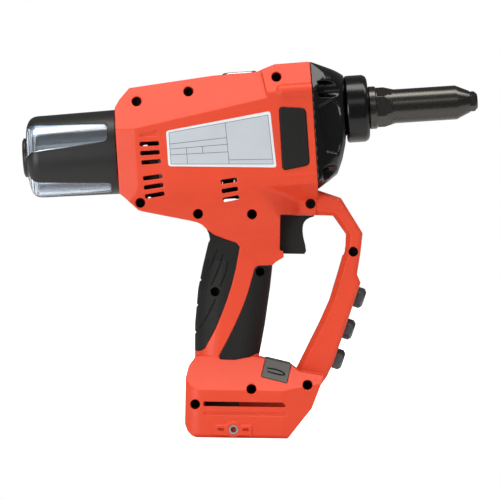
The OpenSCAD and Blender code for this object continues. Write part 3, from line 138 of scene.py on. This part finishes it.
# Tent of white cloth: white where it is seen, a soft glow from above on dull surfaces, and dim in
# reflections, so that glossy black keeps its depth.
tent_low, tent_high, tent_mirrored = 0.3, 0.45, 0.16
world = bpy.data.worlds.new("studio_tent")
scene.world = world
world.use_nodes = True
tent = world.node_tree
tent.nodes.clear()
towards = add_node(tent, "ShaderNodeTexCoord").outputs["Generated"]
height = add_node(tent, "ShaderNodeSeparateXYZ", {"Vector": towards}).outputs["Z"]
glow = add_node(tent, "ShaderNodeMapRange", {"Value": height, "From Min": -0.2, "From Max": 0.9,
                                             "To Min": tent_low, "To Max": tent_high}).outputs["Result"]
rays = add_node(tent, "ShaderNodeLightPath").outputs
seen = add_node(tent, "ShaderNodeMath", {0: rays["Is Camera Ray"], 1: rays["Is Transmission Ray"]},
                operation="MAXIMUM")
soft = add_node(tent, "ShaderNodeBackground", {"Color": linear("#FAFBFF"), "Strength": glow})
dim = add_node(tent, "ShaderNodeBackground", {"Color": linear("#FFFFFF"), "Strength": tent_mirrored})
white = add_node(tent, "ShaderNodeBackground", {"Color": linear("#FFFFFF"), "Strength": 1.0})
unseen = add_node(tent, "ShaderNodeMixShader",
                  {0: rays["Is Glossy Ray"], 1: soft.outputs[0], 2: dim.outputs[0]})
cloth = add_node(tent, "ShaderNodeMixShader", {0: seen.outputs[0], 1: unseen.outputs[0], 2: white.outputs[0]})
add_node(tent, "ShaderNodeOutputWorld", {"Surface": cloth.outputs[0]})

# Softboxes: name, place, size, watts, colour and whether reflections show it.
middle = (cad_box[0] + cad_box[1]) / 2
for name, place, size, watts, colour, glints in (
        ("softbox_over", (0, -0.28, 1.5), (2.4, 0.5), 19, "#FFFDF8", True),
        ("softbox_front", (0, -1.9, 1.05), (2.2, 0.5), 3.5, "#FFFFFF", True),
        ("fill_left", (-0.75, -1.0, 0.12), (0.8, 0.6), 7.2, "#FFFFFF", True),
        ("fill_right", (0.9, -0.9, 0.05), (0.8, 0.6), 2.4, "#FFFFFF", False),
        ("fill_back", (-0.4, 1.9, 0.9), (2.2, 1.6), 16, "#FFFFFF", False)):
    lamp = bpy.data.lights.new(name, "AREA")
    lamp.shape = "RECTANGLE"
    lamp.size, lamp.size_y = size
    lamp.energy = watts
    lamp.color = linear(colour)[:3]
    holder = bpy.data.objects.new(name, lamp)
    holder.location = place
    holder.rotation_euler = (middle - Vector(place)).to_track_quat("-Z", "Y").to_euler()
    holder.visible_glossy = glints
    scene.collection.objects.link(holder)

pixels_per_m = 1395
frame_pixels = 500
camera_distance = 2.4
camera_roll = math.radians(-0.8)
view_centre = Vector((0.0012, 0, 0.1328))
camera_data = bpy.data.cameras.new("camera")
camera_data.sensor_width = 36
camera_data.lens = camera_data.sensor_width * pixels_per_m * camera_distance / frame_pixels
camera_data.clip_end = 50
camera = bpy.data.objects.new("camera", camera_data)
camera.location = view_centre - Vector((0, camera_distance, 0))
camera.rotation_euler = (math.radians(90), camera_roll, 0)
scene.collection.objects.link(camera)
scene.camera = camera

# Drive inside the housing: motor, planet stage, ball nut, ball screw and jaws, turned, ground and stamped
# from steel, copper, brass and aluminium. They show only through the vents and the open ends, so they keep
# their solids.


def machined_metal(name, colour, roughness, mark_mm, depth_mm=0.01, contrast=0.2):
    """Cut or ground metal: tool marks break up the reflection and vary the roughness a little. The marks are
    drawn coarser than they are, so that they show."""
    material, tree, shader = new_material(name)
    place = add_node(tree, "ShaderNodeTexCoord").outputs["Object"]
    marks = add_node(tree, "ShaderNodeTexNoise", {"Vector": place, "Scale": 1 / (mark_mm * MM), "Detail": 3.0,
                                                  "Roughness": 0.6})
    shades = add_node(tree, "ShaderNodeValToRGB", {"Fac": marks.outputs["Fac"]})
    shades.color_ramp.elements[0].color = [c * (1 - contrast) for c in linear(colour)[:3]] + [1]
    shades.color_ramp.elements[1].color = linear(colour)
    shine = add_node(tree, "ShaderNodeMapRange", {"Value": marks.outputs["Fac"],
                                                  "To Min": roughness * (1 - contrast),
                                                  "To Max": roughness * (1 + contrast)})
    relief = add_node(tree, "ShaderNodeBump", {"Height": marks.outputs["Fac"], "Distance": depth_mm * MM,
                                               "Strength": 0.5})
    shader.inputs["Metallic"].default_value = 1.0
    tree.links.new(shades.outputs["Color"], shader.inputs["Base Color"])
    tree.links.new(shine.outputs["Result"], shader.inputs["Roughness"])
    tree.links.new(relief.outputs["Normal"], shader.inputs["Normal"])
    return material


def finish(material, *nodes):
    """Gives CAD nodes that stay as they are their real finish."""
    for node in nodes:
        mesh = frame["nodes"][node].data
        mesh.materials.clear()
        mesh.materials.append(material)


# Case-hardened gear steel, ground and lightly oiled: grey with soft glints.
gear_steel = machined_metal("ground_gear_steel", "#A7A9AD", roughness=0.3, mark_mm=0.8)
finish(gear_steel, "sun_pinion", "planet_carrier", "drive_gear", "planet_gear_1", "planet_gear_2",
       "planet_gear_3", "ball_nut", "nut_gear", "ball_screw", "ring_gear")
# Bearing steel, polished: brighter and smoother than the gears.
bearing_steel = machined_metal("polished_bearing_steel", "#C4C6C9", roughness=0.2, mark_mm=1.5)
finish(bearing_steel, "rotor_bearings", "carrier_bearing", "nut_bearings", "rotor_shaft", "guide_rails",
       "mandrel_tube", "jaw_pusher", "jaw_spring", "jaws")
# Zinc-plated sheet steel of the motor can: pale with a faint bluish bloom.
zinc_plate = machined_metal("zinc_plated_steel", "#9FA5AC", roughness=0.38, mark_mm=4.0)
finish(zinc_plate, "motor_case")
# Die-cast aluminium plates, milled on their faces: pale and softly bright.
milled_aluminium = machined_metal("milled_aluminium", "#B4B6B8", roughness=0.34, mark_mm=1.2)
finish(milled_aluminium, "motor_plate", "bearing_plate")
# Copper of the windings and the commutator: bare and slightly dull.
bare_copper = machined_metal("bare_copper", "#B46F45", roughness=0.35, mark_mm=1.0)
finish(bare_copper, "armature", "commutator")
# Sintered ferrite magnets: dark grey, almost without shine.
ferrite = machined_metal("sintered_ferrite", "#3B3B40", roughness=0.6, mark_mm=0.8)
finish(ferrite, "motor_magnets")
# Brass of the guide key and the terminal blades: stamped and bright.
stamped_brass = machined_metal("stamped_brass", "#C8A24F", roughness=0.28, mark_mm=1.4)
finish(stamped_brass, "guide_key", "terminal_blades")
# Blackened steel of the jaw case: phosphated, so dark and soft in its shine.
blackened_steel = machined_metal("blackened_steel", "#1C1B1A", roughness=0.45, mark_mm=1.2)
finish(blackened_steel, "jaw_case")

# Motor fittings, switch and boards: mouldings of glass-filled nylon and two circuit boards of glass-fibre
# laminate, shut in between the housing halves. They show only through the openings and keep their solids.


def moulded_plastic(name, colour, roughness, grain_mm, depth_mm, tint=0.06, ior=1.54, gloss=0.5):
    """Injection-moulded plastic or rubber: an even colour with a faint cloudiness, and the fine grain of
    an eroded mould in relief and in the shine. The grain is drawn coarser than it is, so that it shows."""
    cloud_mm, noise_low, noise_high, shine_spread = 35, 0.3, 0.7, 0.12
    material, tree, shader = new_material(name)
    place = add_node(tree, "ShaderNodeTexCoord").outputs["Object"]
    clouds = add_node(tree, "ShaderNodeTexNoise", {"Vector": place, "Scale": 1 / (cloud_mm * MM), "Detail": 2.0})
    grain = add_node(tree, "ShaderNodeTexNoise", {"Vector": place, "Scale": 1 / (grain_mm * MM), "Detail": 2.0,
                                                  "Roughness": 0.6})
    shades = add_node(tree, "ShaderNodeValToRGB", {"Fac": clouds.outputs["Fac"]})
    darker, lighter = shades.color_ramp.elements
    darker.position, lighter.position = noise_low, noise_high
    darker.color = [c * (1 - tint) for c in linear(colour)[:3]] + [1]
    lighter.color = [min(1, c * (1 + tint)) for c in linear(colour)[:3]] + [1]
    shine = add_node(tree, "ShaderNodeMapRange", {"Value": grain.outputs["Fac"],
                                                  "From Min": noise_low, "From Max": noise_high,
                                                  "To Min": roughness * (1 - shine_spread),
                                                  "To Max": roughness * (1 + shine_spread)})
    relief = add_node(tree, "ShaderNodeBump", {"Height": grain.outputs["Fac"], "Distance": depth_mm * MM,
                                               "Strength": 0.6})
    shader.inputs["IOR"].default_value = ior
    shader.inputs["Specular IOR Level"].default_value = gloss
    tree.links.new(shades.outputs["Color"], shader.inputs["Base Color"])
    tree.links.new(shine.outputs["Result"], shader.inputs["Roughness"])
    tree.links.new(relief.outputs["Normal"], shader.inputs["Normal"])
    return material


# Glass-filled nylon: black, and slightly fibrous in its shine.
black_nylon = moulded_plastic("glass_filled_nylon", "#26282A", roughness=0.5, grain_mm=0.9, depth_mm=0.03)
finish(black_nylon, "motor_end_cap", "cooling_fan", "switch_body", "terminal_block")
# Solder lacquer on the laminate: smooth, green on the control board and white round the lamp.
green_lacquer = moulded_plastic("green_solder_lacquer", "#1F5E39", roughness=0.3, grain_mm=2.0, depth_mm=0.01)
finish(green_lacquer, "control_board")
white_lacquer = moulded_plastic("white_solder_lacquer", "#E6E3D4", roughness=0.35, grain_mm=2.0, depth_mm=0.01)
finish(white_lacquer, "lamp_board")

# Brush cover: a shallow cup of glass-filled nylon, pushed onto the motor's end cap over the brush springs.
# It is seen only as the dark behind the rear vents.
nose_axis = next(j for j in frame["joints"] if j["name"] == "nut_spin")
ahead = Vector(nose_axis["axis"])
above = Vector((-ahead.z, 0, ahead.x))


def in_barrel(along, aside, up):
    """A place in millimetres from the nose axis at the housing's front face, as a place in the scene."""
    return Vector(nose_axis["pos_m"]) + (ahead * along + above * up + Vector((0, aside, 0))) * MM


# The cup's profile, as places along the motor's axis with their radii, is turned round that axis.
motor_drop, cover_steps = 36, 48
cover_profile = [(-119, 17.5), (-122.8, 17.5), (-123.7, 16.6), (-123.7, 7.5), (-119, 7.5)]
cover_points, cover_faces = [], []
for i in range(cover_steps):
    turn = 2 * math.pi * i / cover_steps
    cover_points += [in_barrel(a, r * math.sin(turn), r * math.cos(turn) - motor_drop) for a, r in cover_profile]
    near, far = len(cover_profile) * i, len(cover_profile) * ((i + 1) % cover_steps)
    for k in range(len(cover_profile)):
        after = (k + 1) % len(cover_profile)
        cover_faces.append((near + k, far + k, far + after, near + after))
brush_cover = new_piece("brush_cover", cover_points, cover_faces, black_nylon)
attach(brush_cover, "tool")

# Housing: two shells of ABS, moulded in orange-red and screwed together on the middle plane.
# Each solid is recast as an even fine skin, so that every edge gets the small radius of a mould.
body_of_node = {n: b for b, ns in frame["record"]["behaviour"]["bodies"].items() for n in ns}
weld_gap = 0.001 * MM


def settle(piece):
    """Makes the modifiers' result the piece's own mesh."""
    made = bpy.data.meshes.new_from_object(piece.evaluated_get(bpy.context.evaluated_depsgraph_get()))
    piece.modifiers.clear()
    piece.data = made


def ease(piece, centre, half, rounds):
    """Blends the folds in an oval stretch of the sides, given in millimetres by its x and z. The blend is
    full in the oval's middle and fades out to its rim."""
    fade_rate = 2.5
    stretch = piece.vertex_groups.new(name="stretch")
    levels = {}
    for vertex in piece.data.vertices:
        away = math.hypot((vertex.co.x / MM - centre[0]) / half[0], (vertex.co.z / MM - centre[1]) / half[1])
        if away < 1:
            levels.setdefault(round(min(1, (1 - away) * fade_rate), 1), []).append(vertex.index)
    for level, members in levels.items():
        stretch.add(members, level, "REPLACE")
    blend = piece.modifiers.new("ease", "SMOOTH")
    blend.factor, blend.iterations, blend.vertex_group = 0.5, rounds, "stretch"
    settle(piece)


def shade_evenly(piece):
    """Smooth shading that keeps the flat faces flat."""
    piece.modifiers.new("even_shade", "WEIGHTED_NORMAL").weight = 60
    piece.data.shade_smooth()


def recast(node, name, grain_mm, softening, most_faces, material, eased=None):
    """A copy of a solid with moulded edges that stands for it: an even skin of the given grain, softened,
    then thinned where it is flat."""
    piece = bpy.data.objects.new(name, frame["nodes"][node].data.copy())
    scene.collection.objects.link(piece)
    piece.modifiers.new("weld", "WELD").merge_threshold = weld_gap
    skin = piece.modifiers.new("skin", "REMESH")
    skin.mode, skin.voxel_size = "VOXEL", grain_mm * MM
    soft = piece.modifiers.new("soften", "SMOOTH")
    soft.factor, soft.iterations = 0.5, softening
    settle(piece)
    if eased:
        ease(piece, *eased)
    # The skin's faces have four corners and count twice in triangles.
    thin = piece.modifiers.new("thin", "DECIMATE")
    thin.ratio = min(1, most_faces / (2 * len(piece.data.polygons)))
    settle(piece)
    shade_evenly(piece)
    piece.data.materials.clear()
    piece.data.materials.append(material)
    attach(piece, body_of_node[node])
    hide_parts(node)


# ABS in orange-red, from a finely eroded mould: satin, with soft bright edges.
orange_abs = moulded_plastic("orange_red_abs", "#E14627", roughness=0.42, grain_mm=0.9, depth_mm=0.02, tint=0.03,
                             gloss=0.32)
# The mould's faces blend into each other between the belly and the trigger.
belly_centre, belly_half, belly_rounds = (22, 171.5), (21, 12), 145
for side in ("right", "left"):
    recast(side + "_housing", side + "_shell", grain_mm=0.5, softening=2, most_faces=160000, material=orange_abs,
           eased=(belly_centre, belly_half, belly_rounds))

# Screws: self-cutting steel screws, phosphated black, deep in the counterbores of the right half,
# and the four cap screws of the front casting.
finish(blackened_steel, "housing_screws", "front_screws")

# Grip pads: thermoplastic rubber, moulded over the grip of each half and flush with the ABS around it.
# The moulded grooves of the rear pads are in the solids.
# The rubber is near black and matt, with a fine dry grain.
soft_rubber = moulded_plastic("thermoplastic_rubber", "#161615", roughness=0.62, grain_mm=0.8, depth_mm=0.05,
                              ior=1.46, gloss=0.35)
for side in ("right", "left"):
    recast(side + "_grip_pads", side + "_pads", grain_mm=0.32, softening=2, most_faces=90000, material=soft_rubber)

# Side bumpers: plates of the same rubber with rounded edges, glued into shallow pockets behind the front
# casting, where the tool lies when it is put down on its side.


def round_edges(node, radius_mm):
    """Rounds the sharp edges of a solid that stays as it is, and evens its shading."""
    flat_angle, sharp_angle, steps = math.radians(0.5), math.radians(28), 3
    part = frame["nodes"][node]
    part.modifiers.new("weld", "WELD").merge_threshold = weld_gap
    flat = part.modifiers.new("flat", "DECIMATE")
    flat.decimate_type, flat.angle_limit = "DISSOLVE", flat_angle
    edge = part.modifiers.new("edge", "BEVEL")
    edge.width, edge.segments = radius_mm * MM, steps
    edge.limit_method, edge.angle_limit = "ANGLE", sharp_angle
    shade_evenly(part)


round_edges("side_bumpers", radius_mm=1.4)
finish(soft_rubber, "side_bumpers")

# Rating plate: an adhesive foil plate in a shallow pocket, with a white rim round a silver field.
# Of its print only the ruled frame and columns of a blank table are drawn, a few hundredths of a mm thick.
plate_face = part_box("rating_plate")[0].y
plate_corners = [(-104.7, -8.4), (-30.4, 0.9), (-28.5, -39.2), (-104.7, -33.4)]


def on_plate(across, down):
    """A place on the plate's face, by the share of its length and of its height."""
    (a0, h0), (a1, h1), (a2, h2), (a3, h3) = plate_corners
    top = a0 + (a1 - a0) * across, h0 + (h1 - h0) * across
    low = a3 + (a2 - a3) * across, h3 + (h2 - h3) * across
    spot = in_barrel(top[0] + (low[0] - top[0]) * down, 0, top[1] + (low[1] - top[1]) * down)
    return Vector((spot.x, plate_face, spot.z))


def foil_layer(name, outlines, thick_mm, material):
    """A printed layer: flat closed outlines on a face that looks to the tool's right, with a thickness."""
    points, faces = [], []
    for outline in outlines:
        first, n = len(points), len(outline)
        points += [p - Vector((0, thick_mm * MM, 0)) for p in outline] + list(outline)
        faces += [list(range(first, first + n)), list(range(first + 2 * n - 1, first + n - 1, -1))]
        faces += [[first + i, first + n + i, first + n + (i + 1) % n, first + (i + 1) % n] for i in range(n)]
    layer = new_piece(name, points, faces, material)
    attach(layer, "tool")
    return layer


# White lacquer of the rim: a cool white, half matt.
white_rim = moulded_plastic("white_foil_lacquer", "#E3E6E8", roughness=0.4, grain_mm=1.5, depth_mm=0.01)
round_edges("rating_plate", radius_mm=0.15)
finish(white_rim, "rating_plate")
# Silver foil under clear lacquer: pale blue grey, nearly matt.
silver_foil = moulded_plastic("silver_foil", "#BFC6CC", roughness=0.38, grain_mm=1.2, depth_mm=0.01, tint=0.04)
left_edge, top_edge = 0.026, 0.062
right_edge, low_edge = 1 - left_edge, 1 - top_edge
plate_field = [(left_edge, top_edge), (right_edge, top_edge), (right_edge, low_edge), (left_edge, low_edge)]
foil_layer("plate_field", [[on_plate(*p) for p in plate_field]], 0.03, silver_foil)
# Printing ink: blue black, flat.
printing_ink = moulded_plastic("blue_black_ink", "#3C444C", roughness=0.5, grain_mm=0.6, depth_mm=0.005)
divider, column, half_column = 0.565, 0.18, 0.33
row_1, row_2, row_3, last_row = 0.38, 0.52, 0.68, 0.85
plate_rules = list(zip(plate_field, plate_field[1:] + plate_field[:1]))
plate_rules += [((divider, top_edge), (divider, low_edge)), ((divider, last_row), (right_edge, last_row))]
plate_rules += [((left_edge, row), (divider, row)) for row in (row_1, row_2, row_3)]
plate_rules += [((column, row_2), (column, low_edge)), ((half_column, row_2), (half_column, row_3))]
rule_half_w = 0.16 * MM
strips = []
for rule in plate_rules:
    start, end = (on_plate(*p) for p in rule)
    aside = (end - start).normalized().cross(Vector((0, 1, 0))) * rule_half_w
    strips.append([start - aside, end - aside, end + aside, start + aside])
foil_layer("plate_rules", strips, 0.05, printing_ink)

# Trigger: a hollow moulding of nylon that slides straight back into the neck against its spring and
# presses the switch behind it.
# Nylon from a blasted mould: black and nearly matt.
trigger_nylon = moulded_plastic("matt_black_nylon", "#121211", roughness=0.5, grain_mm=0.9, depth_mm=0.03,
                                gloss=0.35)
round_edges("trigger", radius_mm=1.2)
finish(trigger_nylon, "trigger")

# Trigger spring: a coil of spring wire between the switch and the bottom of the trigger's bore, that
# closes up as the trigger goes in. It has the solid's own turns.
spring_coil = bpy.data.objects.new("spring_coil", frame["nodes"]["trigger_spring"].data.copy())
scene.collection.objects.link(spring_coil)
spring_coil.data.materials.clear()
spring_coil.data.materials.append(bearing_steel)
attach(spring_coil, body_of_node["trigger_spring"])
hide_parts("trigger_spring")
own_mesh(spring_coil)

# Lamp cover: a moulding of polycarbonate over the work lamp, held between the halves at the front of the
# foot. A lying U is pressed into its side and filled with paint.
# Smoke-grey polycarbonate: dark, satin and almost opaque.
smoke_cover = moulded_plastic("smoke_grey_polycarbonate", "#3A3A38", roughness=0.42, grain_mm=0.9, depth_mm=0.02)
round_edges("lamp_cover", radius_mm=0.6)
finish(smoke_cover, "lamp_cover")
# The U as places in x and z, and the cover's slanted side as the y and z of its lower and upper edge.
mark_path = [(14.6, 49.3), (18.5, 48.8), (22, 48), (25, 46.9), (27.2, 45.2), (26.6, 44.6), (24, 44.7),
             (19.4, 45.7), (14.8, 46.9)]
cover_low, cover_high = Vector((-38.5, 33.5)), Vector((-19.5, 57))
mark_half_w, mark_rise = 0.45, 0.06


def on_cover(x, z):
    """A place on the cover's slanted right face, lifted off it by the paint's thickness."""
    slope = cover_high - cover_low
    y = cover_low.x + slope.x * (z - cover_low.y) / slope.y
    out = Vector((-slope.y, slope.x)).normalized() * mark_rise
    return Vector((x, y + out.x, z + out.y)) * MM


mark_points, mark_faces = [], []
for i, (x, z) in enumerate(mark_path):
    before, after = mark_path[max(i - 1, 0)], mark_path[min(i + 1, len(mark_path) - 1)]
    run = (Vector(after) - Vector(before)).normalized() * mark_half_w
    mark_points += [on_cover(x - run.y, z + run.x), on_cover(x + run.y, z - run.x)]
for i in range(len(mark_path) - 1):
    mark_faces.append((2 * i, 2 * i + 1, 2 * i + 3, 2 * i + 2))
# Marking paint: flat black, without shine.
mark_paint = moulded_plastic("black_marking_paint", "#0A0A0A", roughness=0.9, grain_mm=0.6, depth_mm=0.005,
                             gloss=0.05)
cover_mark = new_piece("cover_mark", mark_points, mark_faces, mark_paint)
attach(cover_mark, "tool")

# Hook inserts: threaded bushes of turned steel, set into both sides of the foot for the belt hook's screw.
# They are as bright as the bearings.
finish(bearing_steel, "hook_inserts")

# Front casting: die-cast aluminium, held to the housing by four cap screws, with the collar nut on its
# snout in the same paint. The long softening gives the casting the wide radii of a die.
# Black gloss paint: deep black with clear, slightly spread reflections.
black_paint = moulded_plastic("black_gloss_paint", "#050505", roughness=0.22, grain_mm=2.5, depth_mm=0.004, ior=1.5)
recast("front_housing", "front_casting", grain_mm=0.5, softening=16, most_faces=80000, material=black_paint)
round_edges("collar_nut", radius_mm=0.7)
finish(black_paint, "collar_nut")

# Nose: a turned steel sleeve with its lock nut, screwed into the collar, and the nosepiece in its end.
# Burnished and oiled steel: brown black, with long soft glints.
burnished_steel = machined_metal("burnished_steel", "#5A5855", roughness=0.27, mark_mm=2.5, depth_mm=0.001,
                                 contrast=0.1)
round_edges("lock_nut", radius_mm=0.3)
round_edges("nose_sleeve", radius_mm=0.4)
round_edges("nosepiece", radius_mm=0.4)
finish(burnished_steel, "lock_nut", "nose_sleeve", "nosepiece")

# Spare nosepieces: three turned steel nosepieces for other mandrels, screwed into the front of the guard.
# Phosphated steel: greyer and duller than the sleeve.
phosphated_steel = machined_metal("phosphated_steel", "#77777A", roughness=0.36, mark_mm=0.8, depth_mm=0.003)
round_edges("spare_nosepieces", radius_mm=0.5)
finish(phosphated_steel, "spare_nosepieces")

# Hanging bail: steel wire bent to a loop, whose ends turn in two sockets in the spine of the housing.
# Nickel plating: bright, with small hard glints.
nickel_wire = machined_metal("nickel_plated_wire", "#C9CBCC", roughness=0.22, mark_mm=1.5)
finish(nickel_wire, "hang_bail")

# Mandrel container: a nylon frame with four windows over a clear cup, pushed onto the rear end of the
# barrel with a rubber ring at its mouth. It catches the mandrels that break off.
# Nylon from a smooth mould: black and satin.
satin_nylon = moulded_plastic("satin_black_nylon", "#131413", roughness=0.4, grain_mm=0.9, depth_mm=0.02)
recast("container_frame", "container_cage", grain_mm=0.45, softening=2, most_faces=90000, material=satin_nylon)
finish(soft_rubber, "container_seal")
# Clear polycarbonate, polished in the mould: glassy and faintly blue, with a haze of scuffs from handling.
scuff_mm, least_haze, most_haze = 6, 0.03, 0.09
clear_pc, clear_tree, clear_shader = new_material("clear_polycarbonate")
place = add_node(clear_tree, "ShaderNodeTexCoord").outputs["Object"]
scuffs = add_node(clear_tree, "ShaderNodeTexNoise", {"Vector": place, "Scale": 1 / (scuff_mm * MM)})
haze = add_node(clear_tree, "ShaderNodeMapRange", {"Value": scuffs.outputs["Fac"], "To Min": least_haze,
                                                   "To Max": most_haze})
clear_tree.links.new(haze.outputs["Result"], clear_shader.inputs["Roughness"])
clear_shader.inputs["Base Color"].default_value = linear("#E2E8EE")
clear_shader.inputs["Transmission Weight"].default_value = 1.0
clear_shader.inputs["IOR"].default_value = 1.58
finish(clear_pc, "container_cup")

# Panes of the cup: its polycarbonate is thicker in each of the frame's four windows and fills it to just
# under the frame's skin. Each pane follows the frame's straight wall and then its rounded end.
container_at, container_drop = -140.5, 19.8
frame_r, dome_r, dome_tip_r, dome_from, dome_top = 30.2, 29.2, 14, 56.2, 65.2
window_turns = 28, 118, 208, 298
pane_front, pane_corner, pane_gap, pane_edge = 6, 3, 0.3, 0.5
pane_half_w, pane_half_w_rear, pane_rear = 7.4, 11.6, 69.2
pane_insets = 0.25, 1.85
pane_steps, straight_steps = 12, 8
# Rows of points over a pane: round its front corners, along the straight wall and over shares of the end.
straight_from = pane_front + pane_corner
pane_rows = [(0, pane_front + pane_gap + z) for z in (0, 0.2, 0.7, 1.6, 2.7)]
pane_rows += [(0, straight_from + (dome_from - straight_from) * i / straight_steps)
              for i in range(1, straight_steps + 1)]
pane_rows += [(share, 0) for share in (0.15, 0.3, 0.45, 0.6, 0.75, 0.88)]


def under_skin(share, place, inset):
    """Radius and place at a depth under the frame's skin: on its rounded end by a share, or else on its wall."""
    if not share:
        return frame_r - (frame_r - dome_r) * place / dome_from - inset, place
    edge, top = dome_r - inset, dome_top - inset
    return edge - share ** 2 * (edge - dome_tip_r), top - (1 - share) ** 2 * (top - dome_from)


def half_width(share, z):
    """Half a pane's width at a place: it widens to the rear, and its front corners are round."""
    half = pane_half_w + (pane_half_w_rear - pane_half_w) * max(0, z - straight_from) / (pane_rear - straight_from)
    inward = 0 if share else max(0, straight_from + pane_gap - z)
    return half - pane_gap - (pane_corner - math.sqrt(max(0, pane_corner ** 2 - inward ** 2)))


pane_points, pane_faces = [], []
across = pane_steps + 1
deeper = len(pane_rows) * across
for angle in window_turns:
    turn = math.radians(angle)
    first = len(pane_points)
    for inset in pane_insets:
        for share, place in pane_rows:
            r, z = under_skin(share, place, inset)
            half = half_width(share, z)
            for j in range(across):
                aside = half * (2 * j / pane_steps - 1)
                rise = math.sqrt(r * r - aside * aside)
                pane_points.append(in_barrel(container_at - z, rise * math.sin(turn) + aside * math.cos(turn),
                                             rise * math.cos(turn) - aside * math.sin(turn) - container_drop))
    for i in range(len(pane_rows) - 1):
        for j in range(pane_steps):
            top = first + i * across + j
            low = top + deeper
            pane_faces.append((top, top + 1, top + across + 1, top + across))
            pane_faces.append((low, low + across, low + across + 1, low + 1))
        for j, order in ((0, 1), (pane_steps, -1)):
            top = first + i * across + j
            pane_faces.append((top, top + across, top + across + deeper, top + deeper)[::order])
    for i, order in ((0, 1), (len(pane_rows) - 1, -1)):
        for j in range(pane_steps):
            top = first + i * across + j
            pane_faces.append((top, top + 1, top + 1 + deeper, top + deeper)[::order])
cup_panes = new_piece("cup_panes", pane_points, pane_faces, clear_pc)
bevel = cup_panes.modifiers.new("edge", "BEVEL")
bevel.width, bevel.segments = pane_edge * MM, 3
bevel.limit_method, bevel.angle_limit = "ANGLE", math.radians(50)
settle(cup_panes)
shade_evenly(cup_panes)
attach(cup_panes, "container")
